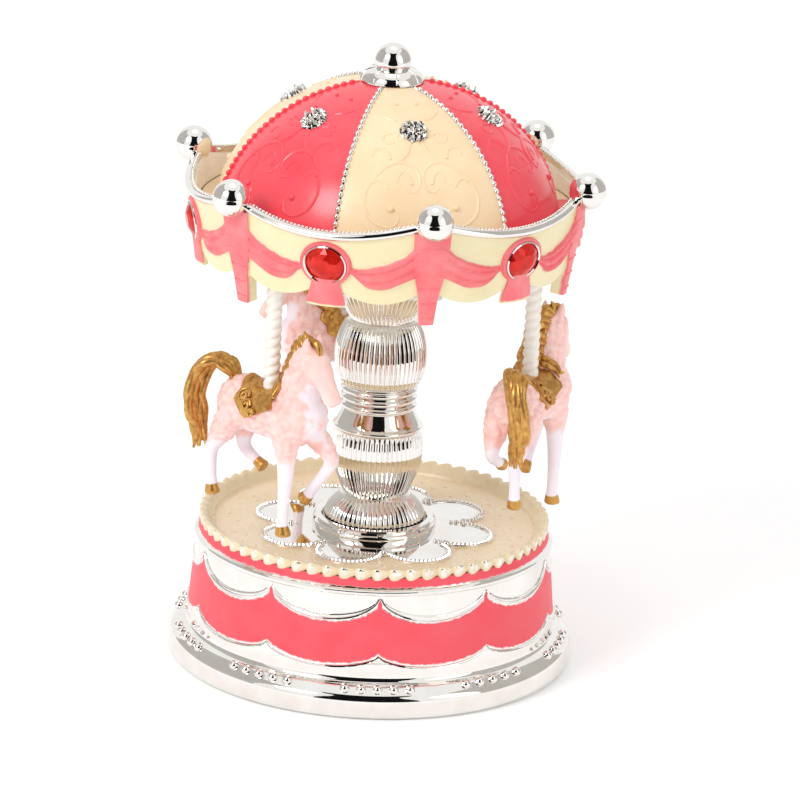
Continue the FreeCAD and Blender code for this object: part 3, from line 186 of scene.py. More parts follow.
# %% Two finishes on one moulding
EDGE_SOFTNESS, CLOUD_SIZE, SPECKLE_SIZE = 0.2, 7.0, 0.5


def stencilled(name, slot, under, over, ragged, grain, orange_peel):
    """Two finishes of (chart colour, second chart colour, metallic, roughness), split at distance 0."""
    finish, tree = new_finish(name, slot)
    distance = add(tree, "Attribute", attribute_name="paint").outputs["Fac"]
    creep = mapped(tree, noise_field(tree, grain, 4.0), 0.25, 0.75, -ragged, ragged)
    edge = add(tree, "Math", {0: distance, 1: creep}, operation="ADD").outputs[0]
    covered = mapped(tree, edge, -EDGE_SOFTNESS, EDGE_SOFTNESS)
    cloud = span(tree, noise_field(tree, CLOUD_SIZE, 3.0), 0, 1)
    tones = [blend_colours(tree, cloud, tone[0], tone[1]) for tone in (under, over)]
    speckle = add(tree, "Math", {0: noise_field(tree, SPECKLE_SIZE, 1.0), 1: covered}, operation="MULTIPLY")
    surface(tree, Base_Color=blend_colours(tree, covered, *tones),
            Metallic=mix(tree, covered, under[2], over[2]),
            Roughness=mix(tree, covered, under[3], over[3]),
            Normal=bump(tree, speckle.outputs[0], orange_peel))
    return finish


PLATE = (CLEAN_PLATE, HAZY_PLATE, 1.0, 0.05)
SPRAYED_DRUM = stencilled("pink_spray_on_plating", "plated_plastic", PLATE,
                          ("F04C58", "EE5864", 0.0, 0.46), 0.3, 1.3, 0.05)
CREAM_FRILL = stencilled("cream_lacquer_on_plating", "plated_plastic", PLATE,
                         ("F0E0BE", "E6D3AC", 0.0, 0.35), 0.4, 1.2, 0.01)
# Painted shade: this stencil lays a dark grey plating into the medallions' folds and hollows.
SHADED_CRUMPLED_PLATING = stencilled("crumpled_plating_with_painted_shade", "plated_plastic", PLATE,
                              ("8A8784", "6A6764", 1.0, 0.18), 0.1, 0.7, 0.0)
SPRAYED_DOME = stencilled("pink_spray_on_cream_abs", "dome_plastic", ("F8DDB6", "F5D6AC", 0.0, 0.28),
                          ("F34A56", "F25662", 0.0, 0.23), 0.12, 1.5, 0.02)
BRUSHED_VALANCE = stencilled("pink_brushed_on_cream_abs", "cream_plastic", ("F1E6BC", "ECDFB2", 0.0, 0.36),
                             ("F2666E", "F48A8C", 0.0, 0.45), 0.18, 2.4, 0.02)
print("stencilled finishes ready")

# %% [markdown]
# ## Plain mouldings and metals
# The deck, the poles and the bottom cover are through-coloured plastics with a moulded skin, and the
# movement is brass and steel. Each has its own gloss and a grain at its own size: flow marks in plastic,
# fine turning lines in metal. One function makes them all from these values.

# %% Plain finishes
def moulded(name, slot, tone, deep, low, high, patch, grain, depth, metal=0.0):
    """A one-colour finish: two tones in patches, roughness between two values, and a grain."""
    finish, tree = new_finish(name, slot)
    cloud = span(tree, noise_field(tree, patch, 3.0), 0, 1)
    surface(tree, Base_Color=blend_colours(tree, cloud, tone, deep), Metallic=metal,
            Roughness=span(tree, noise_field(tree, grain * 3), low, high),
            Normal=bump(tree, noise_field(tree, grain, 3.0), depth))
    return finish


CREAM_DECK = moulded("moulded_cream_abs", "cream_plastic", "F7E3C2", "F0D8B2", 0.18, 0.30, 12.0, 1.2, 0.010)
POLE_WHITE = moulded("moulded_ivory_abs", "pole_plastic", "FBF6F0", "F4ECE3", 0.30, 0.42, 6.0, 0.8, 0.010)
WHITE_LACQUER = moulded("white_lacquer_on_abs", "cream_plastic", "FBF8F3", "F2EDE6", 0.2, 0.3, 6.0, 1.0,
                        0.008)
COVER_WHITE = moulded("moulded_white_polystyrene", "cover_plastic", "E9E6E0", "DDD8CF", 0.45, 0.60, 9.0,
                      0.6, 0.02)
NYLON = moulded("natural_nylon", "nylon", "EDE8DA", "E2DCC8", 0.40, 0.55, 4.0, 0.5, 0.01)
BRASS = moulded("rolled_brass", "movement_brass", "D8B56A", "C9A255", 0.18, 0.34, 5.0, 0.4, 0.004, 1.0)
STEEL = moulded("polished_steel", "movement_steel", "C9C8C6", "B4B3B2", 0.16, 0.32, 5.0, 0.4, 0.004, 1.0)
KEY_METAL = moulded("nickel_plated_key", "key_metal", "D9D4C8", "C8C0B0", 0.16, 0.28, 4.0, 0.5, 0.006, 1.0)
RED_STONE = moulded("foil_backed_acrylic", "jewel_plastic", "E3281C", "C4160F", 0.03, 0.07, 3.0, 1.5, 0.001,
                    0.35)
print("plain finishes ready")

# %% [markdown]
# ## Turning, reshaping and settling
# Most of the carousel is turned work. A line of points is spun round the axis, and a rule then moves each
# point by its radius, azimuth and height, which gives flutes, waves and swags without counting faces by
# hand. Azimuths start at the front and grow to the right. The last step merges seams, turns the faces
# outwards, changes millimetres to metres and hangs the piece on its CAD body.

# %% Shaping helpers
MERGE = 1e-4
BARE = -1.0
UNIT_BALLS = {}


def unit(value):
    """Holds a value between 0 and 1."""
    return max(0.0, min(1.0, value))


def ramp(value, low, high):
    """0 below low, 1 above high, smooth between."""
    t = unit((value - low) / (high - low))
    return t * t * (3 - 2 * t)


def around(radius, azimuth, z=0.0):
    """The place at a radius, an azimuth in degrees and a height."""
    a = math.radians(azimuth)
    return Vector((radius * math.sin(a), -radius * math.cos(a), z))


def polar_of(place):
    """The radius, azimuth and height of a place."""
    return math.hypot(place.x, place.y), math.degrees(math.atan2(place.x, -place.y)), place.z


def turned(outline, steps, closed=True):
    """Spins (r, z) points round the axis, one sector that is then copied; closed makes a wall."""
    bm = bmesh.new()
    verts = [bm.verts.new((0, -r, z)) for r, z in outline]
    loop = verts + verts[:1] if closed else verts
    edges = [bm.edges.new(pair) for pair in zip(loop, loop[1:])]
    sectors = math.gcd(steps, 16)
    bmesh.ops.spin(bm, geom=verts + edges, axis=(0, 0, 1), cent=(0, 0, 0), angle=2 * math.pi / sectors,
                   steps=steps // sectors)
    sector = bm.verts[:] + bm.edges[:] + bm.faces[:]
    for k in range(1, sectors):
        copy = bmesh.ops.duplicate(bm, geom=sector)["geom"]
        bmesh.ops.rotate(bm, verts=[v for v in copy if isinstance(v, bmesh.types.BMVert)], cent=(0, 0, 0),
                         matrix=Matrix.Rotation(2 * math.pi * k / sectors, 3, "Z"))
    bmesh.ops.remove_doubles(bm, verts=bm.verts, dist=MERGE)
    return bm


def dense(outline, step):
    """Adds points so that no run of an outline is longer than a step."""
    points = []
    for (r, z), (r2, z2) in zip(outline, outline[1:]):
        count = max(1, math.ceil(math.hypot(r2 - r, z2 - z) / step))
        points += [(r + (r2 - r) * i / count, z + (z2 - z) * i / count) for i in range(count)]
    return points + [outline[-1]]


def reshape(bm, rule):
    """Moves each vertex by a rule from (radius, azimuth, z) to new ones."""
    for v in bm.verts:
        v.co = around(*rule(*polar_of(v.co)))
    return bm


def coat(bm, rule):
    """Stores on each vertex how far inside the colour it lies, in millimetres; BARE is well outside."""
    layer = bm.verts.layers.float.new("paint")
    for v in bm.verts:
        v[layer] = rule(*polar_of(v.co))
    return bm


def all_pink(r, azimuth, z):
    return 1.0


def blend(p0, p1, p2, p3, t):
    """A smooth way from p1 to p2 that keeps the headings set by the points before and after."""
    return 0.5 * (2 * p1 + (p2 - p0) * t + (2 * p0 - 5 * p1 + 4 * p2 - p3) * t * t
                  + (3 * p1 - p0 - 3 * p2 + p3) * t ** 3)


def through(points, x):
    """Height at x of a smooth line through (x, height) points."""
    spots = [points[0], *points, points[-1]]
    i = next((i for i in range(1, len(points)) if x <= spots[i + 1][0]), len(points) - 1)
    (_, y0), (x1, y1), (x2, y2), (_, y3) = spots[i - 1:i + 3]
    return blend(y0, y1, y2, y3, unit((x - x1) / (x2 - x1)))


def curve_through(points, per_run):
    """Points along a smooth curve through some points, so many for each run between two."""
    spots = [Vector(p) for p in (points[0], *points, points[-1])]
    curve = []
    for i in range(len(points) - 1):
        curve += [blend(*spots[i:i + 4], step / per_run) for step in range(per_run)]
    return curve + [spots[-1]]


def piping(paths, radius, sides=2):
    """Sweeps a round wire along paths of points; a fourth number thins the wire there."""
    curve = bpy.data.curves.new("path", "CURVE")
    curve.dimensions, curve.bevel_depth, curve.bevel_resolution = "3D", radius, sides
    curve.use_fill_caps = True
    for path in paths:
        spline = curve.splines.new("POLY")
        spline.points.add(len(path) - 1)
        for point, place in zip(spline.points, path):
            point.co = (*place[:3], 1.0)
            point.radius = place[3] if len(place) == 4 else 1.0
    holder = bpy.data.objects.new("path", curve)
    bm = bmesh.new()
    bm.from_mesh(bpy.data.meshes.new_from_object(holder))
    bpy.data.objects.remove(holder)
    return bm


def stud(bm, place, radius, squash=(1, 1, 1), turn=Matrix(), faces=(8, 5)):
    """Adds a small ball and returns its vertices; squash flattens it along the axes of its turn."""
    if faces not in UNIT_BALLS:
        UNIT_BALLS[faces] = bmesh.new()
        bmesh.ops.create_uvsphere(UNIT_BALLS[faces], u_segments=faces[0], v_segments=faces[1], radius=1.0)
        UNIT_BALLS[faces].verts.index_update()
    size = Matrix.Diagonal((*[radius * share for share in squash], 1))
    matrix = Matrix.Translation(place) @ turn.to_4x4() @ size
    copies = [bm.verts.new(matrix @ v.co) for v in UNIT_BALLS[faces].verts]
    for face in UNIT_BALLS[faces].faces:
        bm.faces.new([copies[v.index] for v in face.verts])
    return copies


def into_mesh(bm, name):
    """Empties a bmesh into a new mesh."""
    mesh = bpy.data.meshes.new(name)
    bm.to_mesh(mesh)
    bm.free()
    return mesh


def join(*shapes):
    """Puts several bmeshes into the first one."""
    for other in shapes[1:]:
        spare = into_mesh(other, "spare")
        shapes[0].from_mesh(spare)
        bpy.data.meshes.remove(spare)
    return shapes[0]


def settle(bm, name, body, finish, *nodes, crease=40, outwards=True):
    """Turns a bmesh in millimetres into a finished piece on a CAD body."""
    bmesh.ops.remove_doubles(bm, verts=bm.verts, dist=MERGE)
    if outwards:
        bmesh.ops.recalc_face_normals(bm, faces=bm.faces)
    bmesh.ops.scale(bm, vec=(MM, MM, MM), verts=bm.verts)
    mesh = into_mesh(bm, name)
    mesh.shade_smooth()
    mesh.set_sharp_from_angle(angle=math.radians(crease))
    mesh.materials.append(finish)
    piece = into_scene(name, mesh)
    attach(piece, body)
    if nodes:
        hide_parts(*nodes)
    print(f"{name}: {len(mesh.polygons)} faces")


print("shaping helpers ready")

# %% [markdown]
# ## The base drum
# One plated moulding: a rolled foot with a sloping ledge for beads, a steep cove and a slightly tapered
# drum. It could be lathed from a short outline, but the stencil's edge needs vertices to carry its
# distance, so the outline is made dense. Ten hanging swags stay bare under a thin ring; a wave closes the
# pink field at the bottom, and a pink band runs above the ring.

# %% Drum
SWAGS, SWAG_TURN = 10, 3.0
SWAG_TOP, SWAG_DEPTH = 33.9, 7.6
WAVE_TOP, WAVE_DEPTH, WAVE_POWER = 16.4, 3.4, 1.3
SPRAY_GAP = 0.85
BAND_LOW, BAND_TOP = 35.7, 38.4
FACE_R, MEAN_FACE_R, STEEPEST = 48.5, 50.0, 3.0
ROLL = [(55.6, 0.0), (56.5, 0.4), (57.0, 1.4), (57.0, 3.6), (56.95, 4.8), (56.8, 5.7), (56.5, 6.4),
        (56.0, 6.95)]
COVE = [(54.2, 8.5), (52.9, 9.05), (52.4, 9.35), (52.1, 9.85), (51.95, 10.6), (51.9, 11.6), (51.85, 12.6),
        (51.7, 13.8), (51.5, 15.0)]
RING = [(49.85, 33.4), (50.1, 33.55), (50.4, 33.9), (50.45, 34.3), (50.35, 34.7), (49.85, 35.1),
        (49.45, 35.3)]
OUTER = ROLL + COVE + RING + [(48.6, 38.0)]
INNER = [(46.6, 38.0), (46.6, 34.5), (44.0, 34.5), (44.0, 33.0), (47.9, 30.4), (49.5, 15.0), (50.2, 7.0),
         (50.2, 4.5), (54.4, 4.5), (54.4, 0.0)]


def bow(azimuth):
    """Depth of the hanging half ovals, 0 at the cusps and 1 in the middle."""
    share = ((azimuth - SWAG_TURN) * SWAGS / 360) % 1.0
    return math.sqrt(max(0.0, 1 - (2 * share - 1) ** 2))


def swag_z(azimuth, inset=0.0):
    return SWAG_TOP - (SWAG_DEPTH - inset) * bow(azimuth)


def wave_z(azimuth):
    return WAVE_TOP - WAVE_DEPTH * bow(azimuth) ** WAVE_POWER


def drum_radius(z):
    """Radius of the drum's face at a height."""
    for (r, low), (r2, high) in zip(OUTER, OUTER[1:]):
        if low <= z <= high:
            return r + (r2 - r) * (z - low) / (high - low)


def slanted(rule, azimuth, z):
    """Distance above a line on the drum, with the line's slope taken into account."""
    step = 0.25
    rise = (rule(azimuth + step) - rule(azimuth - step)) / (math.radians(2 * step) * MEAN_FACE_R)
    return (z - rule(azimuth)) / math.hypot(1.0, min(abs(rise), STEEPEST))


def drum_colour(r, azimuth, z):
    """Positive in the pink field between swags and wave, and in the band above the ring."""
    field = min(-slanted(swag_z, azimuth, z), slanted(wave_z, azimuth, z)) - SPRAY_GAP
    return max(field, min(z - BAND_LOW, BAND_TOP - z)) if r > FACE_R else BARE


drum = coat(turned(dense(OUTER, 0.55) + INNER, 480), drum_colour)
settle(drum, "base_drum", "base", SPRAYED_DRUM, "base_shell", crease=35)

# %% [markdown]
# ## Raised lines and beads on the drum
# The swags are edged by two fine raised lines, the wave by one, and the foot carries groups of five beads.
# These stand proud of the wall, so they are wires swept along the same rules that the stencil uses, and
# small balls.

# %% Lines and beads
PERIOD = 360 / SWAGS
LINE_R, LINE_PROUD = 0.36, 0.05
CUSP_GAP, SECOND_LINE, SECOND_GAP = 0.3, 1.1, 1.7
BEAD_R, BEAD_OUT, BEAD_Z, BEAD_STEP = 1.4, 54.7, 8.05, 4.7


def second_swag_z(azimuth):
    return swag_z(azimuth, SECOND_LINE)


def drum_line(rule, start, end, count):
    """Places along a line on the drum between two azimuths."""
    places = []
    for i in range(count + 1):
        azimuth = start + (end - start) * i / count
        z = rule(azimuth)
        places.append(around(drum_radius(z) + LINE_PROUD, azimuth, z))
    return places


edges = []
for k in range(SWAGS):
    first, last = SWAG_TURN + k * PERIOD, SWAG_TURN + (k + 1) * PERIOD
    edges += [drum_line(swag_z, first + CUSP_GAP, last - CUSP_GAP, 48),
              drum_line(second_swag_z, first + SECOND_GAP, last - SECOND_GAP, 44),
              drum_line(wave_z, first, last, 32)]
lines = piping(edges, LINE_R)
for k in range(SWAGS):
    for i in range(-2, 3):
        azimuth = SWAG_TURN + k * PERIOD + i * BEAD_STEP
        stud(lines, around(BEAD_OUT, azimuth, BEAD_Z), BEAD_R, faces=(14, 9))
settle(lines, "drum_lines_and_beads", "base", BRIGHT_PLATING)

# %% [markdown]
# ## The frill
# A pie-crust edge of small leaning shells stands on the drum's top edge, cream with plated lips. The ring
# is spun from its section, and each shell comes from a rule that pushes its lip out and up between sharp
# notches. The lips are where the rule pushes furthest, so the stencil is a plain radius.

# %% Frill
SHELLS, SHELL_LEAN = 66, 0.6
FRILL_FOOT, FRILL_TOP, FRILL_ROOT, FRILL_DEPTH = 38.0, 40.6, 46.2, 2.0
LIP_OUT, NOTCH_IN, LIP_TALL, NOTCH_LOW = 0.85, 0.45, 0.75, 0.4
CREAM_R = 49.1
FRILL_SECTION = dense([(48.5, 37.9), (48.75, 38.6), (48.85, 39.4), (48.8, 40.2), (48.5, 40.5), (48.0, 40.5),
                       (47.2, 40.0), (46.4, 39.0), (45.5, 38.0)], 0.4)


def shell_rule(r, azimuth, z):
    lobe = math.sin(math.pi * ((azimuth * SHELLS / 360) % 1.0) ** SHELL_LEAN)
    spread = 2 * (z - FRILL_FOOT) / (FRILL_TOP - FRILL_FOOT) - 1
    outside = unit((r - FRILL_ROOT) / FRILL_DEPTH)
    return (r + outside * (LIP_OUT * lobe - NOTCH_IN), azimuth,
            z + outside * spread * (LIP_TALL * lobe - NOTCH_LOW))


frill = reshape(turned(FRILL_SECTION, SHELLS * 10), shell_rule)
coat(frill, lambda r, azimuth, z: CREAM_R - r)
settle(frill, "frill", "base", CREAM_FRILL, "frill_ring", crease=70)

# %% [markdown]
# ## The deck
# A cream tray lies inside the drum, with a low leaning wall and tiny raised dots. On it lies a plated
# flower of eight round petals, each edged by a row of beads and a fine line, and with studs where two
# petals meet. The flower's outline is a polar rule: the outermost of eight circles.

# %% Tray and flower
DECK, TRAY_FOOT, TRAY_BORE = 36.5, 34.5, 5.05
TRAY = [(TRAY_BORE, TRAY_FOOT), (46.4, TRAY_FOOT), (46.4, 38.0), (45.4, 38.0), (45.1, 37.3), (44.6, 36.75),
        (43.9, DECK), (TRAY_BORE, DECK)]
TRAY_DOTS = ((-15, 40.3), (-11, 37.6), (-4, 40.8), (3, 39.0), (9, 41.4), (17, 38.6), (21, 34.6))
TRAY_DOT_R, TRAY_DOT_SQUASH = 0.55, (1, 1, 0.6)
PETALS, PETAL_TURN = 8, -15.0
PETAL_STEP = 360 / PETALS
PETAL_C, PETAL_R, FLOWER_TOP = 25.0, 9.6, 37.1
FLOWER_BORE, FLOWER_DISC, FLOWER_BEVEL = 7.0, 100.0, 0.2
PETAL_BEADS, PETAL_BEAD_R, PETAL_BEAD_TURN, PETAL_BEAD_INSET = 13, 0.6, 7.6, 0.7
PETAL_WIRE_R, PETAL_WIRE_INSET = 0.22, 1.75
PETAL_STUDS, PETAL_STUD_UP = ((25.6, 1.15), (23.4, 0.75), (21.9, 0.55)), 0.2


def petal_azimuth(k):
    """Azimuth of a petal; a half lies between two petals."""
    return PETAL_TURN + PETAL_STEP * k


def flower_rule(r, azimuth, z):
    """Draws a disc in to the flower's edge."""
    a = math.radians((azimuth - PETAL_TURN + PETAL_STEP / 2) % PETAL_STEP - PETAL_STEP / 2)
    edge = PETAL_C * math.cos(a) + math.sqrt(PETAL_R ** 2 - (PETAL_C * math.sin(a)) ** 2)
    share = (r - FLOWER_BORE) / (FLOWER_DISC - FLOWER_BORE)
    return FLOWER_BORE + share * (edge - FLOWER_BORE), azimuth, z


def petal_point(k, angle, radius):
    """A place round the middle of a petal; angle 0 points outwards."""
    return around(PETAL_C, petal_azimuth(k), FLOWER_TOP) + around(radius, petal_azimuth(k) + angle)


tray = turned(TRAY, 240)
disc = [(FLOWER_BORE, DECK), (FLOWER_DISC, DECK), (FLOWER_DISC, FLOWER_TOP - FLOWER_BEVEL),
        (FLOWER_DISC - 1, FLOWER_TOP), (FLOWER_BORE, FLOWER_TOP)]
flower = reshape(turned(disc, 720), flower_rule)
wires = []
for k in range(PETALS):
    for offset, radius in TRAY_DOTS:
        place = around(radius, petal_azimuth(k) + offset, DECK)
        stud(tray, place, TRAY_DOT_R, TRAY_DOT_SQUASH, faces=(10, 6))
    for i in range(-PETAL_BEADS, PETAL_BEADS + 1):
        stud(flower, petal_point(k, PETAL_BEAD_TURN * i, PETAL_R - PETAL_BEAD_INSET), PETAL_BEAD_R)
    for radius, size in PETAL_STUDS:
        place = around(radius, petal_azimuth(k + 0.5), FLOWER_TOP + PETAL_STUD_UP)
        stud(flower, place, size, faces=(14, 9))
    wires.append([petal_point(k, angle, PETAL_R - PETAL_WIRE_INSET) for angle in range(-100, 101, 5)])
settle(tray, "deck_tray_dressed", "base", CREAM_DECK, "deck_tray")
flower = join(flower, piping(wires, PETAL_WIRE_R))
settle(flower, "deck_flower", "base", BRIGHT_PLATING, "deck_rosette", crease=30)

# %% [markdown]
# ## The collar
# A fixed plated ring stands round the column's foot and hides the bearing. Its face has a shallow step and
# small rectangular bosses. It is turned, and each boss is a bevelled block pushed into the wall.

# %% Collar
COLLAR = [(14.7, 37.1), (17.4, 37.1), (17.4, 38.5), (17.15, 38.8), (16.9, 39.0), (16.9, 39.8),
          (16.6, 40.15), (15.0, 40.2), (14.7, 39.9)]
BOSS_SIZE, BOSS_PLACE, BOSS_BEVEL = (2.4, 0.9, 1.0, 1), (0, -16.9, 39.15), 0.18
collar = turned(COLLAR, 160)
for k in range(PETALS):
    block = bmesh.ops.create_cube(collar, size=1.0)["verts"]
    turn = Matrix.Rotation(math.radians(petal_azimuth(k + 0.5)), 4, "Z")
    shape = turn @ Matrix.Translation(BOSS_PLACE) @ Matrix.Diagonal(BOSS_SIZE)
    bmesh.ops.transform(collar, matrix=shape, verts=block)
    rim = list(dict.fromkeys(edge for v in block for edge in v.link_edges))
    bmesh.ops.bevel(collar, geom=rim, offset=BOSS_BEVEL, affect="EDGES", segments=2, profile=0.5,
                    material=-1)
settle(collar, "deck_collar_dressed", "base", BRIGHT_PLATING, "deck_collar")

# %% [markdown]
# ## The column
# Five plated mouldings on one spindle: a bulb at the foot, two barrels, a stack of three rings between
# them and a capital under the canopy. All but the rings are reeded with 52 fine ribs. A rib rule on the
# spun outline is lighter than an array of cut flutes, and it fades out at both ends as the moulded ribs do.

# %% Column pieces
RIBS, RIB_DEPTH, RIB_FADE, BORE = 52, 0.42, 1.0, 6.8
STACK_FOOT, STACK_R, STACK_RING_H, STACK_RING_PROUD = 71.7, 10.0, 2.3, 0.8
COLUMN = (
    ("column_foot", 38.2, 46.8,
     [(12.9, 37.7), (13.7, 38.4), (14.05, 39.4), (14.1, 40.4), (13.9, 41.6), (13.3, 42.9), (12.4, 44.1),
      (11.2, 45.3), (10.1, 46.2), (9.5, 46.8), (9.3, 47.1)]),
    ("lower_barrel", 47.6, 65.8,
     [(9.3, 47.1), (9.5, 47.8), (10.3, 49.8), (11.5, 52.7), (12.45, 56.0), (12.95, 59.5), (12.9, 62.0),
      (12.6, 64.4), (12.2, 66.0), (12.5, 66.25), (12.75, 66.75), (12.5, 67.3), (12.15, 67.5), (11.6, 68.3),
      (10.6, 70.4), (10.0, 71.7)]),
    ("upper_barrel", 79.2, 97.5,
     [(10.0, 78.6), (11.2, 79.3), (12.2, 81.4), (12.8, 84.4), (13.0, 87.3), (12.7, 90.3), (11.9, 93.3),
      (10.7, 96.0), (9.7, 97.5), (9.3, 97.9)]),
    ("column_capital", 98.6, 115.8,
     [(9.3, 97.9), (9.7, 98.9), (10.9, 101.0), (12.3, 103.4), (13.5, 105.6), (14.3, 107.2), (14.6, 108.4),
      (14.6, 116.3), (15.4, 116.4), (15.4, 118.3)]))


def bored(outline):
    """Closes an outer face to a hollow piece."""
    return outline + [(BORE, outline[-1][1]), (BORE, outline[0][1])]


for node, low, high, outline in COLUMN:
    def rib_rule(r, azimuth, z):
        fade = unit(min(z - low, high - z) / RIB_FADE) if r > BORE + 1 else 0.0
        groove = 1 - abs(math.sin(math.radians(azimuth * RIBS / 2)))
        return r - RIB_DEPTH * fade * groove, azimuth, z

    piece = reshape(turned(bored(dense(outline, 0.8)), RIBS * 8), rib_rule)
    settle(piece, node + "_dressed", "carousel", BRIGHT_PLATING, node, crease=60)
rings = [(STACK_R, STACK_FOOT)]
for i in range(1, 25):
    swell = abs(math.sin(math.pi * i / 8))
    rings.append((STACK_R + STACK_RING_PROUD * swell, STACK_FOOT + STACK_RING_H * i / 8))
settle(turned(bored(rings), 128), "ring_stack_dressed", "carousel", BRIGHT_PLATING, "ring_stack", crease=50)

# %% [markdown]
# ## The canopy's rim and balls
# The rim is a plated rail that dips between six balls. It could be a curve with a bevel, but a spun section
# keeps its flat underside on the valance, so the section is spun level and a rule then lets it sag in each
# lobe. A row of fine beads runs along its inner edge. Each ball shows the parting line of its mould.

# %% Rim and balls
LOBES, CANOPY_TURN = 6, 13.0
LOBE = 360 / LOBES
RIM_LOW, RIM_SAG_R, RIM_R = 134.1, 87.1, 55.2
RAIL = [(53.3, 0.0), (54.6, 0.0), (55.35, 0.2), (55.8, 0.7), (55.95, 1.25), (55.8, 1.8), (55.35, 2.25),
        (54.8, 2.42), (54.35, 2.3), (54.1, 2.0), (53.3, 2.0)]
RAIL_BEAD_R, RAIL_BEAD_OUT, RAIL_BEAD_UP, RAIL_BEAD_STEP = 0.52, 53.75, 2.15, 1.22
BALL_R, BALL_OUT, BALL_Z = 5.15, 56.87, 140.8
PARTING_SHARE, PARTING_REACH = 0.975, 0.05


def ball_azimuth(k):
    """Azimuth of a ball; a half lies in the middle of a lobe."""
    return CANOPY_TURN + LOBE * k


def from_ball(azimuth):
    """Degrees from the nearest ball, from -30 to 30."""
    return (azimuth - CANOPY_TURN + LOBE / 2) % LOBE - LOBE / 2


def rim_z(azimuth):
    """Height of the rail's underside."""
    across = RIM_R * math.sin(math.radians(LOBE / 2 - abs(from_ball(azimuth))))
    return RIM_LOW + RIM_SAG_R - math.sqrt(RIM_SAG_R ** 2 - across ** 2)


rail = reshape(turned(RAIL, 360), lambda r, azimuth, z: (r, azimuth, z + rim_z(azimuth)))
balls = bmesh.new()
for k in range(LOBES):
    for i in range(-20, 21):
        azimuth = ball_azimuth(k + 0.5) + RAIL_BEAD_STEP * i
        stud(rail, around(RAIL_BEAD_OUT, azimuth, rim_z(azimuth) + RAIL_BEAD_UP), RAIL_BEAD_R)
    centre = around(BALL_OUT, ball_azimuth(k), BALL_Z)
    for v in stud(balls, centre, BALL_R, faces=(48, 32)):
        if abs(v.co.z - centre.z) < PARTING_REACH:
            v.co = centre + (v.co - centre) * PARTING_SHARE
settle(rail, "canopy_rail", "carousel", BRIGHT_PLATING, "crown_rim", crease=50)
settle(balls, "canopy_balls", "carousel", BRIGHT_PLATING, crease=25)

# %% [markdown]
# ## The valance
# The cream skirt hangs below the rim. Its lower edge is scalloped, and raised drapery runs from a ribbon
# under each ball to the stone in the middle of each lobe. The relief and the brushed pink come from the
# same two edge lines, so colour and form agree. The wall is spun as a band whose height runs from 0 to 1,
# and a rule hangs it between the rim and the scallops. Inside the rim it has a thin white lining.

# %% Valance wall
SKIRT_R, SKIRT_Z, SKIRT_SLOPE, SKIRT_WALL, SKIRT_TUCK = 52.0, 117.1, 0.157, 1.9, 0.4
HEM_Z, SCALLOP_DEPTH, SCALLOP_START, SCALLOP_RUN, SCALLOP_POWER = 119.3, 2.5, 4.0, 20.5, 0.8
DRAPE_TOP = [(3.0, 134.2), (4.5, 133.4), (7.2, 131.1), (11.7, 128.9), (18.0, 127.2), (21.7, 127.0),
             (30.0, 128.2)]
DRAPE_FOOT = [(3.0, 125.0), (4.5, 124.3), (7.2, 123.1), (11.7, 121.2), (16.0, 120.9), (18.6, 121.8),
              (21.7, 124.4), (25.0, 126.0), (30.0, 126.4)]
DRAPE_EDGE, DRAPE_PROUD, DRAPE_MARGIN = 0.9, 0.35, 0.15
FOLDS, FOLD_START, FOLD_PROUD = 2.6, 0.25, 0.75
LINING_Z, LINING_TUCK, LINING_PROUD, LINING_WALL = 130.7, 0.3, 0.3, 0.35
BAND = [(2.0, i / 44) for i in range(45)] + [(1.0, 1.0), (1.0, 0.6), (1.0, 0.0)]


def skirt_radius(z):
    return SKIRT_R + SKIRT_SLOPE * (z - SKIRT_Z)


def hem(u):
    """Lower edge: a scallop between the ribbon and the drop under the stone."""
    share = unit((u - SCALLOP_START) / SCALLOP_RUN)
    return HEM_Z - SCALLOP_DEPTH * math.sin(math.pi * share) ** SCALLOP_POWER


def drape(u, z):
    """Distance inside the raised drapery, and the share of its height."""
    foot, top = through(DRAPE_FOOT, u), through(DRAPE_TOP, u)
    return min(z - foot, top - z), (z - foot) / (top - foot)


def hang(r, azimuth, z):
    """Hangs the band: z runs from 0 to 1, and r is 2 outside and 1 inside."""
    u = abs(from_ball(azimuth))
    height = hem(u) + z * (rim_z(azimuth) + SKIRT_TUCK - hem(u))
    inside, share = drape(u, height)
    fold = abs(math.sin(math.pi * (FOLDS * share + FOLD_START)))
    relief = ramp(inside, 0.0, DRAPE_EDGE) * (DRAPE_PROUD + FOLD_PROUD * fold)
    return skirt_radius(height) - SKIRT_WALL * (2.0 - r) + relief * (r - 1.0), azimuth, height


def skirt_colour(r, azimuth, z):
    """Positive on the drapery's outer face."""
    outside = r > skirt_radius(z) - 0.5 * SKIRT_WALL
    return drape(abs(from_ball(azimuth)), z)[0] - DRAPE_MARGIN if outside else BARE


def line_inside(r, azimuth, z):
    """Hangs the lining on the wall above the dome's flange, with the band's z and r."""
    height = LINING_Z + z * (rim_z(azimuth) + LINING_TUCK - LINING_Z)
    return skirt_radius(height) - SKIRT_WALL - LINING_PROUD + LINING_WALL * (r - 1.0), azimuth, height


skirt = coat(reshape(turned(BAND, 720), hang), skirt_colour)
settle(skirt, "valance_skirt", "carousel", BRUSHED_VALANCE, "valance", crease=50)
lining = reshape(turned([(2.0, 0.0), (2.0, 1.0), (1.0, 1.0), (1.0, 0.0)], 360), line_inside)
settle(lining, "valance_lining", "carousel", WHITE_LACQUER)

# %% [markdown]
# ## Ribbons and drops
# A ribbon falls from each ball and ends in a thick tail, and a bell-shaped drop hangs under each stone.
# Each is a grid laid on the skirt by a rule, then given thickness; its front is pink, its sides and back
# stay cream. Rows of tiny dots cross the ribbon.

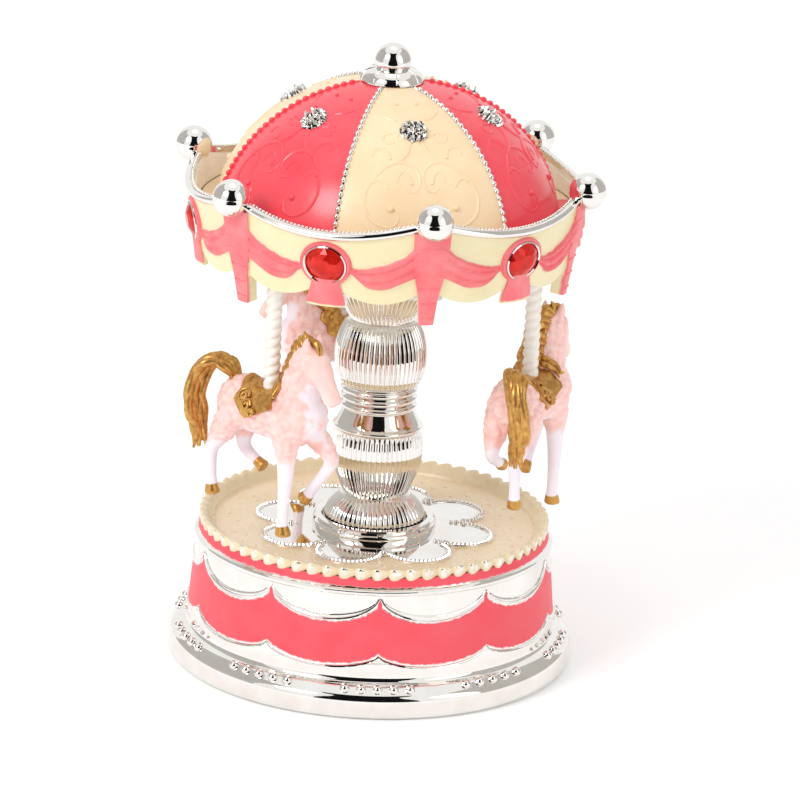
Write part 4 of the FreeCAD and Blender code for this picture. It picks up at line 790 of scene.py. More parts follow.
# %% Ribbons and drops
RIBBON_WIDTH = [(111.2, 2.0), (115.0, 2.3), (119.0, 2.7), (124.0, 3.7), (130.0, 4.5), (137.6, 4.7)]
DROP_WIDTH = [(115.4, 5.4), (117.0, 5.3), (120.0, 4.4), (124.0, 3.3)]
STRAP_WALL, STRAP_EDGE, STRAP_BACK, BACK_BARE = 1.5, 0.5, 0.6, -1.2
TAIL_DEPTH, TAIL_TOP, TAIL_RUN = 2.4, 119.5, 2.0
DOT_ROWS, DOT_R, DOT_OUT, DOT_INSET, DOT_PINK = (113.2, 117.4, 121.8), 0.24, 0.95, 0.6, 0.6


def strap(azimuth, widths, columns, rows, proud, bulge, lip, tail=0.0):
    """A strap on the skirt between the first and last height of its half widths, with a bare lip."""
    bm = bmesh.new()
    bmesh.ops.create_grid(bm, x_segments=columns, y_segments=rows, size=1.0)
    foot, top = widths[0][0], widths[-1][0]
    layer = bm.verts.layers.float.new("paint")
    for v in bm.verts:
        side, z = v.co.x, foot + (top - foot) * (v.co.y + 1) / 2
        half = through(widths, z)
        v[layer] = min(half * (1 - abs(side)) + STRAP_EDGE, z - foot - lip)
        r = skirt_radius(z) + proud + bulge * (1 - side * side)
        v.co = around(r, azimuth + math.degrees(side * half / SKIRT_R), z)
    bmesh.ops.recalc_face_normals(bm, faces=bm.faces)
    if sum(f.normal.dot(f.calc_center_median().xy.to_3d()) for f in bm.faces) < 0:
        bmesh.ops.reverse_faces(bm, faces=bm.faces)
    bmesh.ops.solidify(bm, geom=bm.faces[:], thickness=STRAP_WALL)
    for v in bm.verts:
        r, turn, z = polar_of(v.co)
        if r < skirt_radius(z) + proud - STRAP_BACK:
            v[layer] = BACK_BARE
            v.co = around(r - tail * unit((TAIL_TOP - z) / TAIL_RUN), turn, z)
    return bm


straps = []
for k in range(LOBES):
    straps += [strap(ball_azimuth(k), RIBBON_WIDTH, columns=12, rows=40, proud=0.75, bulge=0.25, lip=-1.0,
                     tail=TAIL_DEPTH),
               strap(ball_azimuth(k + 0.5), DROP_WIDTH, columns=16, rows=16, proud=0.5, bulge=0.9, lip=0.5)]
straps = join(*straps)
layer = straps.verts.layers.float["paint"]
for k in range(LOBES):
    for z in DOT_ROWS:
        half = through(RIBBON_WIDTH, z) - DOT_INSET
        for i in range(-3, 4):
            azimuth = ball_azimuth(k) + math.degrees(i / 3 * half / SKIRT_R)
            for v in stud(straps, around(skirt_radius(z) + DOT_OUT, azimuth, z), DOT_R):
                v[layer] = DOT_PINK
settle(straps, "valance_ribbons_and_drops", "carousel", BRUSHED_VALANCE, crease=45, outwards=False)

# %% [markdown]
# ## Stones
# Oval red stones sit in thin plated bezels with a pink frame. A cut stone is flat faces at set angles, so
# it is turned with few steps and shaded flat, and one ring is turned by half a step to give kite facets.

# %% Stones, bezels and frames
STONE_Z, STONE_STEPS, STONE_OVAL = 127.3, 12, Matrix.Diagonal((1.06, 0.96, 1.0, 1.0))
KITE_R = 3.7
STONE_CUT = [(0.0, 2.4), (2.2, 2.4), (KITE_R, 1.75), (5.2, 0.6), (5.2, -0.6), (0.0, -0.6)]
BEZEL = [(5.1, 0.2), (5.75, 0.2), (5.7, 1.0), (5.4, 1.25), (5.1, 0.95)]
STONE_FRAME = [(5.6, -0.6), (6.75, -0.4), (6.7, 0.3), (6.3, 0.75), (5.9, 0.8), (5.6, 0.5)]


def facing(across, along):
    """A turn whose X lies across, whose Y lies along and whose Z points out."""
    return Matrix((across, along, across.cross(along))).transposed().to_4x4()


def stone_place(k):
    """Where a stone sits: X across, Y up the skirt and Z out of it."""
    azimuth = ball_azimuth(k + 0.5)
    up = (around(SKIRT_SLOPE, azimuth) + Vector((0, 0, 1))).normalized()
    seat = Matrix.Translation(around(skirt_radius(STONE_Z), azimuth, STONE_Z))
    return seat @ facing(around(1.0, azimuth + 90), up) @ STONE_OVAL


def at_stones(outline, steps, rule=None):
    """The same turned piece at each of the six stones."""
    shapes = []
    for k in range(LOBES):
        bm = turned(outline, steps, closed=outline[0][0] > 0)
        if rule:
            reshape(bm, rule)
        bmesh.ops.transform(bm, matrix=stone_place(k), verts=bm.verts)
        shapes.append(bm)
    return join(*shapes)


def half_step(r, azimuth, z):
    return r, azimuth + (180 / STONE_STEPS if abs(r - KITE_R) < 0.1 else 0.0), z


stones = at_stones(STONE_CUT, STONE_STEPS, half_step)
bmesh.ops.triangulate(stones, faces=[f for f in stones.faces if len(f.verts) == 4])
settle(stones, "red_stones", "carousel", RED_STONE, "jewels", crease=3)
settle(at_stones(BEZEL, 48), "stone_bezels", "carousel", BRIGHT_PLATING)
settle(coat(at_stones(STONE_FRAME, 48), all_pink), "stone_frames", "carousel", BRUSHED_VALANCE)

# %% [markdown]
# ## The dome
# A moulded shell in six panels, pink and cream in turn. It could be six separate gores, but the toy's dome
# is one moulding with two colours, so one spun shell carries the colour as a distance from the seams. The
# ornament is raised on the same shell: points are given as sideways and downwards millimetres from a
# panel's medallion, and one function lays them on the oval dome.

# %% Dome shell
DOME_R, DOME_H, DOME_FOOT_Z, DOME_WALL, DOME_STEPS = 47.88, 41.0, 125.0, 1.6, 36
OUTER_EYE, OUTER_EDGE, INNER_EYE, INNER_EDGE = 4.0, 82.1, 4.2, 84.0
FLANGE_R, FLANGE_LOW, FLANGE_TOP = 51.6, 129.1, 130.6
PINK_PANEL = ball_azimuth(1)


def on_dome(azimuth, polar, lift=0.0):
    """Point on the dome at a polar angle from its top, lifted off the shell."""
    p = math.radians(polar)
    return around((DOME_R + lift) * math.sin(p), azimuth, DOME_FOOT_Z + (DOME_H + lift) * math.cos(p))


def dome_line(first, last, lift=0.0):
    """The shell's outline between two polar angles."""
    places = [on_dome(0.0, first + (last - first) * i / DOME_STEPS, lift) for i in range(DOME_STEPS + 1)]
    return [(-place.y, place.z) for place in places]


def dome_colour(r, azimuth, z):
    """Positive in the pink panels; the distance is taken along the shell."""
    from_middle = abs((azimuth - PINK_PANEL + LOBE) % (2 * LOBE) - LOBE)
    return r * math.radians(LOBE / 2 - from_middle)


shell = dome_line(OUTER_EYE, OUTER_EDGE) + [(FLANGE_R, FLANGE_TOP), (FLANGE_R, FLANGE_LOW)]
dome = coat(turned(shell + dome_line(INNER_EDGE, INNER_EYE, -DOME_WALL), 360), dome_colour)
settle(dome, "dome_shell", "carousel", SPRAYED_DOME, "dome", crease=45)

# %% [markdown]
# ## Seams and scrolls
# Each seam is a narrow strip with a row of oblong beads. Below each medallion two mirrored scrolls spread
# and roll up round a dot, with an inner scroll, a leaf and small curls beside them, and above it are a bow
# and two dots. These are wires sunk into the shell, because a moulded scroll is a rounded ridge and not a
# loose tube.

# %% Dome ornament
MEDALLION_POLAR, MM_PER_DEGREE = 36.0, 0.777
SCROLLS = (
    [(1.6, 3.6), (2.9, 7.2), (5.3, 9.7), (8.9, 11.6), (12.3, 14.8), (14.8, 18.4), (16.0, 22.2),
     (15.3, 26.2), (13.3, 28.4), (10.6, 29.4), (8.0, 28.6), (6.9, 26.2), (7.6, 24.0)],
    [(8.6, 11.4), (6.2, 10.2), (3.6, 10.6), (1.5, 12.2), (0.5, 14.4), (0.6, 16.8), (1.6, 18.7), (3.2, 19.2),
     (4.4, 18.2)],
    [(2.8, 16.9), (3.4, 14.6), (4.9, 13.2), (6.2, 14.4), (6.6, 16.2)],
    [(13.4, 16.7), (12.0, 15.7), (10.2, 16.6), (9.3, 18.2)],
    [(4.6, 1.6), (6.2, 0.7), (8.2, 1.5), (8.8, 3.2), (7.6, 4.2), (5.8, 3.8)],
    [(7.8, 9.4), (8.3, 7.2), (10.0, 6.0), (11.8, 6.8), (12.4, 8.8)],
    [(4.0, -4.2), (6.0, -5.0), (7.8, -6.6), (8.2, -8.6)])
SCROLL_DOTS = [(9.0, 24.2, 0.9), (2.8, -11.0, 0.6)]
RIDGE_R, RIDGE_SUNK, RIDGE_TAPER = 0.62, 0.27, 0.3
SEAM_TOP, SEAM_RUN, SEAM_R, SEAM_SUNK = 11, 71, 0.6, 0.25
SEAM_BEADS, SEAM_BEAD_TOP, SEAM_BEAD_STEP, SEAM_BEAD_UP = 25, 13.5, 2.75, 0.3
SEAM_BEAD_SIZE = (0.72, 0.86, 0.62)


def panel_point(middle, x, y, lift=0.0):
    """Place on a panel, so many millimetres sideways and downwards from its medallion."""
    polar = MEDALLION_POLAR + y / MM_PER_DEGREE
    return on_dome(middle + math.degrees(x / (DOME_R * math.sin(math.radians(polar)))), polar, lift)


def dome_turn(azimuth, polar):
    """X across, Y down the dome and Z out of it."""
    down = (on_dome(azimuth, polar + 0.1) - on_dome(azimuth, polar - 0.1)).normalized()
    return facing(around(1.0, azimuth + 90), down)


def seams(numbers):
    """Strips with oblong beads on some of the six seams."""
    azimuths = [ball_azimuth(k - 0.5) for k in numbers]
    bm = piping([[on_dome(azimuth, SEAM_TOP + SEAM_RUN * i / 30, -SEAM_SUNK) for i in range(31)]
                 for azimuth in azimuths], SEAM_R)
    for azimuth in azimuths:
        for i in range(SEAM_BEADS):
            polar = SEAM_BEAD_TOP + SEAM_BEAD_STEP * i
            stud(bm, on_dome(azimuth, polar, SEAM_BEAD_UP), 1.0, SEAM_BEAD_SIZE, dome_turn(azimuth, polar),
                 (10, 6))
    return bm


ridges, dots = [], []
for k in range(LOBES):
    for side in (-1, 1):
        for scroll in SCROLLS:
            run = curve_through(scroll, 5)
            ridges.append([(*panel_point(ball_azimuth(k), side * p.x, p.y, -RIDGE_SUNK),
                            1.0 - RIDGE_TAPER * i / len(run)) for i, p in enumerate(run)])
        dots += [(panel_point(ball_azimuth(k), side * x, y), size) for x, y, size in SCROLL_DOTS]
ornament = piping(ridges, RIDGE_R)
for place, size in dots:
    stud(ornament, place, size, faces=(10, 6))
settle(coat(ornament, dome_colour), "dome_scrolls", "carousel", SPRAYED_DOME)
settle(seams((0, 1, 3, 4)), "plated_dome_seams", "carousel", BRIGHT_PLATING)
settle(coat(seams((2, 5)), all_pink), "pink_dome_seams", "carousel", SPRAYED_DOME)

# %% [markdown]
# ## Medallions
# A crinkled plated flower is set in every panel. It is a low spun button whose edge is waved into petals.
# Its face is raised on each petal and crumpled by a noise, which catches the light in many places, and the
# folds and hollows are painted dark grey as painted shade.

# %% Medallions
MEDALLION_PETALS, MEDALLION_R, BUTTON_FOOT = 9, 3.9, -0.6
BUTTON = [(0.0, 1.15), (0.8, 1.1), (1.15, 0.75), (1.85, 0.95), (2.75, 1.15), (3.45, 0.9),
          (MEDALLION_R, 0.3), (MEDALLION_R, BUTTON_FOOT)]
CRUMPLE_GRAIN, CRUMPLE_LAYER = 1.5, 2.0
NOTCH_SHARE, PETAL_SHARE = 0.9, 0.14
NOTCH_SINK, PETAL_LIFT, CRUMPLE_LIFT = 0.55, 0.75, 1.1
# How far the painted shade reaches into the folds, and how strongly the crumpled hollows are painted dark.
FOLD_SHADE_REACH, HOLLOW_SHADE_GAIN = 0.25, 1.4
CALM_Z, CALM_R, EYE_R, FACE_LOW = -0.3, 1.4, 0.5, -0.2


def folds(r, azimuth):
    """How high a place lies between the notches, from 0 to 1, and on the crumpled face."""
    ridge = abs(math.sin(math.radians(azimuth * MEDALLION_PETALS / 2)))
    return ridge, noise.noise(around(CRUMPLE_GRAIN * r, azimuth, CRUMPLE_LAYER))


def crinkle(r, azimuth, z):
    ridge, crumple = folds(r, azimuth)
    raised = max(0.0, z - CALM_Z) * min(1.0, r / CALM_R)
    return (r * (NOTCH_SHARE + PETAL_SHARE * ridge * r / MEDALLION_R), azimuth,
            z + raised * (PETAL_LIFT * ridge - NOTCH_SINK + CRUMPLE_LIFT * crumple))


def painted_fold_shade(r, azimuth, z):
    """Painted shade: dark grey in the folds between the petals and in the hollows of the crumpled face."""
    ridge, crumple = folds(r, azimuth)
    painted_shade = max(FOLD_SHADE_REACH - ridge, -HOLLOW_SHADE_GAIN * crumple - FOLD_SHADE_REACH)
    return painted_shade if r > EYE_R and z > FACE_LOW else BARE


button = reshape(turned(dense(BUTTON, 0.4) + [(0.0, BUTTON_FOOT)], 54, closed=False), crinkle)
coat(button, painted_fold_shade)
flowers = []
for k in range(LOBES):
    foot, above = (on_dome(ball_azimuth(k), MEDALLION_POLAR, lift) for lift in (0.0, 1.0))
    turn = (above - foot).to_track_quat("Z", "Y").to_matrix().to_4x4()
    flowers.append(button.copy())
    bmesh.ops.transform(flowers[k], matrix=Matrix.Translation(foot) @ turn, verts=flowers[k].verts)
settle(join(*flowers), "dome_flowers", "carousel", SHADED_CRUMPLED_PLATING, "dome_medallions", crease=12)

# %% [markdown]
# ## The finial
# A plated cap closes the dome and screws it to the spindle, with a ball on top. Cap and ball are one turned
# outline, and eight thin ribs run down the cap.

# %% Finial
CAP_Z, CAP_BORE, CAP_HOLLOW, FINIAL_R, FINIAL_Z = 165.53, 7.4, 0.8, 5.1, 170.83
CAP = [(8.8, 0.0), (8.8, 0.5), (8.45, 1.5), (7.7, 2.45), (6.6, 3.15), (5.3, 3.5), (4.7, 3.7)]
BALL_FOOT, BALL_STEPS = -22, 18
CAP_RIBS, CAP_RIB_TURN, CAP_RIB_R, CAP_RIB_SUNK = 8, -36.5, 0.2, 0.05
outline = [(0.0, CAP_HOLLOW), (CAP_BORE, CAP_HOLLOW), (CAP_BORE, 0.0)] + CAP
outline = [(r, CAP_Z + z) for r, z in outline]
for i in range(BALL_STEPS):
    lean = math.radians(BALL_FOOT + (90 - BALL_FOOT) * i / BALL_STEPS)
    outline.append((FINIAL_R * math.cos(lean), FINIAL_Z + FINIAL_R * math.sin(lean)))
finial = turned(outline + [(0.0, FINIAL_Z + FINIAL_R)], 96, closed=False)
ribs = []
for k in range(CAP_RIBS):
    azimuth = CAP_RIB_TURN + 360 / CAP_RIBS * k
    ribs.append([around(r - CAP_RIB_SUNK, azimuth, CAP_Z + z) for r, z in CAP[1:]])
finial = join(finial, piping(ribs, CAP_RIB_R))
settle(finial, "finial_ball_and_cap", "carousel", BRIGHT_PLATING, "finial", crease=35)

# %% [markdown]
# ## Twisted poles
# Each horse hangs on an ivory pole with a double right-handed twist. A rod could be twisted with a
# modifier, but the section of a barley twist is a simple formula: two rounded lobes whose angle grows with
# the height.

# %% Poles
POLE_R, POLE_LOW, POLE_TOP, POLE_CIRCLE = 2.3, 84.3, 118.3, 42.6
STATIONS = (-43.6, 76.4, 196.4)
TWIST_PITCH, TWIST_DEPTH = 2.6, 0.55
PLAIN_FOOT, PLAIN_TOP, FOOT_FADE, TOP_FADE = 2.2, 0.8, 0.8, 0.5
POLE = [(0.0, POLE_LOW), *dense([(POLE_R, POLE_LOW), (POLE_R, POLE_TOP)], 0.3), (0.0, POLE_TOP)]


def twist(r, azimuth, z):
    """Cuts the two hollows, which fade out at the pole's plain ends."""
    if r < 1.0:
        return r, azimuth, z
    phase = math.radians(azimuth) - math.pi * (z - POLE_LOW) / TWIST_PITCH
    fade = unit(min((z - POLE_LOW - PLAIN_FOOT) / FOOT_FADE, (POLE_TOP - PLAIN_TOP - z) / TOP_FADE))
    return r - fade * TWIST_DEPTH * (1 - abs(math.sin(phase))), azimuth, z


for k, azimuth in enumerate(STATIONS, 1):
    pole = reshape(turned(POLE, 32, closed=False), twist)
    bmesh.ops.translate(pole, vec=around(POLE_CIRCLE, azimuth), verts=pole.verts)
    settle(pole, f"twisted_pole_{k}", "carousel", POLE_WHITE, f"pole_{k}", crease=50)

# %% [markdown]
# ## Horse paint
# A horse is moulded in one white plastic and sprayed pink, with the spray fading out over the legs, the
# belly and the chest, where a cool white shows. Gold is brushed on last, on the hooves, the hair and the
# saddle. The skin reads three vertex values: the share of white, the distance inside the gold, and a
# painted shade that deepens the pink in the hollows between the fleece curls.

# %% Horse finishes
HORSE_LAYERS = ("pale", "gold", "hollow_shade")
HORSE_PAINT, tree = new_finish("sprayed_horse_abs", "horse_plastic")
pale, gold, hollow_shade = (add(tree, "Attribute", attribute_name=name).outputs["Fac"] for name in HORSE_LAYERS)
cloud = span(tree, noise_field(tree, 5.0, 3.0), 0.0, 0.45)
# Painted shade: the pink deepens in the fleece hollows, added to a random cloud of tone.
depth = add(tree, "Math", {0: hollow_shade, 1: cloud}, operation="ADD", use_clamp=True).outputs[0]
pink = blend_colours(tree, depth, "FFDDD7", "F8B4AA")
white = blend_colours(tree, cloud, "F8EFF5", "F0E1EB")
gilt = mapped(tree, gold, -0.15, 0.15)
surface(tree, Base_Color=blend_colours(tree, gilt, blend_colours(tree, pale, pink, white), "CF9C54"),
        Metallic=mix(tree, gilt, 0.0, 0.8), Roughness=mix(tree, gilt, 0.48, 0.34),
        Normal=bump(tree, noise_field(tree, 0.5), 0.03))
GOLD_LACQUER = moulded("brushed_gold_lacquer", "horse_plastic", "E2B266", "B47C3A", 0.26, 0.40, 1.4, 0.4,
                       0.03, 0.8)
print("horse finishes:", HORSE_PAINT.name, GOLD_LACQUER.name)

# %% [markdown]
# ## A horse's body
# The trunk, neck, head and legs are lofted along lines of rings, each ring a place and a radius, in the
# horse's own frame: x forwards, y to its left, and z up from the pole's foot. Overlapping lofts would show
# creases where they meet, so one skin is drawn over all of them by a voxel remesh and then smoothed. Fleece
# is pushed out of that skin as round curls, where the real mould has them: on the trunk, the neck and the
# tops of the legs.

# %% Horse body
SKIN_VOXEL, SKIN_SMOOTHING = 0.45, 7
CURL_SIZE, CURL_HEIGHT, CURL_MIDDLE, CURL_SHADE, CURL_WANDER = 1.9, 0.85, 0.45, 0.3, 4.0
SPRAY_BLUR, SPRAY_PATCH = 2.6, 2.2
HOOF_LENGTH = 3.4
TRUNK_NARROW = 0.98
TRUNK = [(-16.8, 0, -3.2, 1.2), (-15.4, 0, -3.6, 4.4), (-12.2, 0, -4.0, 6.9), (-7.0, 0, -5.0, 7.3),
         (0.0, 0, -5.6, 7.0), (7.0, 0, -5.0, 7.9), (12.5, 0, -4.2, 7.4), (16.4, 0, -3.6, 4.8),
         (18.0, 0, -3.2, 1.8)]
NECK = [(8.6, 0, -4.0, 6.8), (10.2, 0, 3.0, 5.8), (11.6, 0, 9.0, 4.7), (12.8, 0, 13.6, 3.6),
        (13.2, 0, 15.4, 2.0)]
HEAD = [(11.6, 0, 14.6, 2.4), (14.6, 0, 12.6, 4.0), (17.2, 0, 9.4, 3.5), (19.6, 0, 6.0, 2.6),
        (21.6, 0, 3.4, 2.4), (23.0, 0, 1.6, 1.9)]
NEAR_FORE = [(8.2, -3.6, -6.0, 4.4), (9.2, -4.1, -12.0, 3.6), (9.6, -4.3, -17.0, 2.6),
             (9.6, -4.5, -24.0, 2.0), (9.3, -4.5, -32.0, 1.6), (9.1, -4.5, -35.0, 1.8),
             (9.5, -4.5, -37.0, 2.3), (9.6, -4.5, -38.0, 2.4)]
RAISED_FORE = [(9.6, 3.6, -6.5, 4.2), (13.6, 4.2, -10.8, 3.2), (17.6, 4.5, -14.8, 2.3),
               (18.4, 4.5, -16.8, 2.0), (15.4, 4.5, -21.6, 1.7), (11.8, 4.5, -26.0, 1.6),
               (10.2, 4.5, -28.2, 2.0), (8.8, 4.5, -29.8, 2.3)]
NEAR_HIND = [(-9.4, -3.6, -6.0, 4.8), (-12.4, -4.1, -11.6, 3.8), (-16.0, -4.4, -17.0, 2.4),
             (-17.2, -4.5, -19.6, 2.0), (-16.9, -4.5, -25.0, 1.6), (-16.7, -4.5, -28.6, 1.7),
             (-16.3, -4.5, -31.0, 2.2), (-16.2, -4.5, -32.0, 2.3)]
BENT_HIND = [(-9.0, 3.6, -6.0, 4.8), (-11.6, 4.1, -11.8, 3.6), (-13.2, 4.4, -17.2, 2.3),
             (-12.6, 4.5, -19.6, 1.9), (-9.4, 4.5, -21.8, 1.6), (-7.2, 4.5, -23.0, 1.7),
             (-5.4, 4.5, -24.0, 2.2)]
LEGS = (NEAR_FORE, RAISED_FORE, NEAR_HIND, BENT_HIND)
EARS = [[(13.4, side * 1.9, 14.8, 1.6), (13.9, side * 2.5, 17.2, 1.3), (14.2, side * 2.7, 19.4, 0.3)]
        for side in (-1, 1)]


def lofted(*lines):
    """Closed round lofts along smooth lines of (x, y, z, radius)."""
    return piping([curve_through(line, 5) for line in lines], 1.0, sides=4)


def trunk_loft(grown=0.0):
    """The trunk, grown by some millimetres."""
    trunk = lofted([(x, y, z, r + grown) for x, y, z, r in TRUNK])
    bmesh.ops.scale(trunk, vec=(1.0, TRUNK_NARROW, 1.0), verts=trunk.verts)
    return trunk


def one_skin(bm):
    """Draws one closed skin over overlapping shapes."""
    holder = into_scene("skin", into_mesh(bm, "skin"))
    cover = holder.modifiers.new("cover", "REMESH")
    cover.mode, cover.voxel_size = "VOXEL", SKIN_VOXEL
    graph = bpy.context.evaluated_depsgraph_get()
    skin = bmesh.new()
    skin.from_mesh(bpy.data.meshes.new_from_object(holder.evaluated_get(graph)))
    bpy.data.objects.remove(holder)
    for _ in range(SKIN_SMOOTHING):
        bmesh.ops.smooth_vert(skin, verts=skin.verts, factor=0.5, use_axis_x=True, use_axis_y=True,
                              use_axis_z=True)
    return skin


def pale_share(place, normal):
    """White shows on the lower legs, the belly and the front of the chest and neck."""
    blur = SPRAY_BLUR * noise.noise(place / SPRAY_PATCH)
    legs = ramp(-place.z + blur, 14.4, 17.6)
    belly = (ramp(-normal.z, 0.45, 0.85) * ramp(-place.z + blur, 9.0, 11.0)
             * ramp(9.5 - abs(place.x + 1), 0.0, 3.0))
    chest = (ramp(normal.x, 0.5, 0.8) * ramp(4.6 - abs(place.y) + blur, 0.0, 2.0)
             * ramp(place.x, 11.5, 13.5) * ramp(7.5 - place.z, 0.0, 2.0) * ramp(18.6 - place.x, 0.0, 1.0))
    return max(legs, belly, chest)


def fleecy_share(place):
    """Fleece covers the horse but for its face, its lower legs and its crown."""
    face = ramp(place.x, 15.0, 17.5) * ramp(place.z, -1.0, 1.0)
    return (1 - 0.8 * face) * ramp(place.z, -17.0, -14.0) * ramp(17.0 - place.z, 0.0, 2.0)


def curl(place):
    """Height of a fleece curl, 1 in its middle and 0 in the hollow between curls."""
    spot = place / CURL_WANDER
    wander = Vector((noise.noise(spot), noise.noise(spot + Vector((9, 0, 0))), 0.0))
    nearest = noise.voronoi((place + wander) / CURL_SIZE)[0][0]
    return max(0.0, 1.0 - 1.5 * nearest * nearest)


body = one_skin(join(trunk_loft(), lofted(NECK, HEAD, *LEGS, *EARS)))
body.normal_update()
for name in HORSE_LAYERS:
    body.verts.layers.float.new(name)
pale_layer, gold_layer, hollow_shade_layer = (body.verts.layers.float[name] for name in HORSE_LAYERS)
hooves = [Vector(leg[-1][:3]) for leg in LEGS]
moves = []
for v in body.verts:
    pale, height = pale_share(v.co, v.normal), curl(v.co)
    fleecy = (1 - pale) * fleecy_share(v.co)
    v[pale_layer] = pale
    # Painted shade: the pink is deeper in the hollows between the curls.
    v[hollow_shade_layer] = CURL_SHADE * fleecy * (1 - height)
    v[gold_layer] = HOOF_LENGTH - min((v.co - hoof).length for hoof in hooves)
    moves.append((v, v.normal * fleecy * CURL_HEIGHT * (height - CURL_MIDDLE)))
for v, step in moves:
    v.co += step
print("horse skin:", len(body.faces), "faces")

# %% [markdown]
# ## Hair and saddle
# The mane falls in wavy locks over the inner side of the neck. On the outer side only its crest shows, with
# a forelock, a tuft and two short locks on the shoulder. The tail arches back from the croup in
# side-by-side locks. Each lock is a tapered wire with its own wave, so the hair keeps the grooves that the
# gold brush left bright and dark. The saddle is a grown piece of the trunk, cut by planes and closed, with
# three scrolls on each side and a roll at its back.

# %% Hair and saddle
CREST = [(13.6, 0, 16.6), (11.8, 0, 16.8), (9.2, 0, 14.4), (7.0, 0, 9.6), (5.2, 0, 5.2), (3.6, 0, 1.8)]
TAIL = [(-12.0, 0, 0.6, 0.9), (-14.4, -1.4, 5.2, 1.1), (-17.6, -3.4, 6.4, 1.2), (-20.6, -5.4, 2.6, 1.3),
        (-21.4, -6.6, -3.0, 1.3), (-20.8, -6.8, -8.8, 1.2), (-20.0, -6.2, -14.0, 1.1),
        (-19.6, -5.6, -18.6, 0.25)]
TAIL_SPREAD = (0.6, 1.9, 2.5, 2.5, 2.3, 1.9, 1.3, 2.6)
MANE_LOCKS, MANE_DROP, MANE_SWAY, MANE_WAVES, LOCK_R = 12, 7.2, 1.6, 9.0, 1.6
TAIL_LOCKS, TAIL_WAVE, TAIL_CROWN = 8, 0.8, 0.8
CREST_LOCK = [(14.6, 0.0, 15.6, 0.4), (14.0, -0.2, 16.6, 1.1), (12.6, 0.0, 16.8, 1.3),
              (10.4, 0.2, 15.6, 1.2), (8.0, 0.0, 11.6, 1.1), (6.0, 0.0, 6.8, 1.1), (4.2, 0.0, 2.8, 0.9)]
FORELOCK = [(13.2, 0.0, 16.6, 1.0), (15.0, -0.4, 17.6, 1.1), (16.8, -0.6, 16.4, 1.0),
            (17.2, -0.8, 13.8, 0.8), (18.4, -0.6, 11.6, 0.2)]
TUFT = [(12.0, -0.2, 16.0, 1.2), (12.2, -0.6, 18.4, 0.9), (11.2, -0.4, 20.0, 0.2)]
FRONT_LOCK = [(5.8, 0.0, 5.4, 0.8), (5.2, -2.6, 5.0, 0.9), (6.4, -4.8, 3.6, 0.8), (6.0, -6.4, 1.8, 0.6),
              (7.4, -7.2, 1.6, 0.15)]
REAR_LOCK = [(5.0, 0.0, 4.2, 0.8), (4.2, -2.8, 3.8, 0.9), (5.4, -5.2, 2.4, 0.7), (4.8, -6.8, 0.6, 0.15)]
SADDLE_GROWN = 0.75
SADDLE_CUTS = (((-7.0, 0, 0), (-1, 0, 0.25)), ((5.2, 0, 0), (1, 0, 0.3)),
               ((-5.4, 0, -4.2), (-0.75, 0, -0.66)), ((1.0, 0, -4.4), (0.45, 0, -0.89)))
SADDLE_R, SADDLE_AXIS_Z = 7.25 + SADDLE_GROWN, -5.3
SADDLE_SCROLLS = ((-4.7, -0.6, 2.0), (-2.8, -2.5, 1.6), (-0.9, -4.4, 1.2))
SCROLL_STEPS, SCROLL_TURN, SCROLL_WIRE_R = 15, 40, 0.45
CANTLE = [(-6.6, -4.4, 0.4, 0.7), (-7.4, 0, 3.0, 1.0), (-6.6, 4.4, 0.4, 0.7)]


def mane_lock(share):
    """One lock from the crest, down the inner side of the neck."""
    crest = curve_through(CREST, 8)
    root = crest[round(share * (len(crest) - 1))]
    sway = math.sin(MANE_WAVES * share * math.pi)
    drop = MANE_DROP + MANE_SWAY * sway
    points = [(0.4, -0.9, -0.4, 0.5), (-1.3, 0.9, 0.7, 0.9), (-2.2, 3.4, -0.22 * drop, 1.0),
              (-0.4 + 0.9 * sway, 5.0, -0.5 * drop, 0.9), (-2.4, 5.2, -0.78 * drop, 0.7),
              (-1.4 - 1.2 * sway, 5.6, -drop, 0.15)]
    return [(root.x + x, y * (0.75 + 0.35 * share), root.z + z, LOCK_R * r) for x, y, z, r in points]


def tail_lock(number):
    """One lock of the tail, beside the others, waving across its path."""
    side = 2.0 * number / (TAIL_LOCKS - 1) - 1.0
    points = []
    for i, ((x, y, z, r), spread) in enumerate(zip(TAIL, TAIL_SPREAD)):
        wave = TAIL_WAVE * math.sin(2.3 * i + 2.1 * number)
        crown = TAIL_CROWN * (1 - side * side) if i > 1 else 0.0
        points.append((x - crown + 0.3 * side * spread, y + 0.95 * side * spread + wave, z + 0.8 * wave,
                       r * (1.25 - 0.25 * abs(side))))
    return points


def saddle_scroll(side, x, z, size):
    """A spiral on one side of the saddle."""
    points = []
    for i in range(SCROLL_STEPS):
        angle, reach = math.radians(SCROLL_TURN * i), size * (1 - i / 18)
        up = z + reach * math.sin(angle)
        half = math.sqrt(SADDLE_R ** 2 - (up - SADDLE_AXIS_Z) ** 2)
        points.append((x + reach * math.cos(angle), side * TRUNK_NARROW * half, up, SCROLL_WIRE_R))
    return points


hair = lofted(*[mane_lock(i / (MANE_LOCKS - 1)) for i in range(MANE_LOCKS)],
              *[tail_lock(i) for i in range(TAIL_LOCKS)], CREST_LOCK, FORELOCK, TUFT, FRONT_LOCK, REAR_LOCK)
saddle = trunk_loft(SADDLE_GROWN)
for place, outward in SADDLE_CUTS:
    bmesh.ops.bisect_plane(saddle, geom=saddle.verts[:] + saddle.edges[:] + saddle.faces[:], plane_co=place,
                           plane_no=outward, clear_outer=True)
    bmesh.ops.holes_fill(saddle, edges=[e for e in saddle.edges if e.is_boundary])
scrolls = [saddle_scroll(side, *scroll) for side in (-1, 1) for scroll in SADDLE_SCROLLS]
trim = join(hair, saddle, lofted(*scrolls, CANTLE))
print("hair and saddle:", len(trim.faces), "faces")

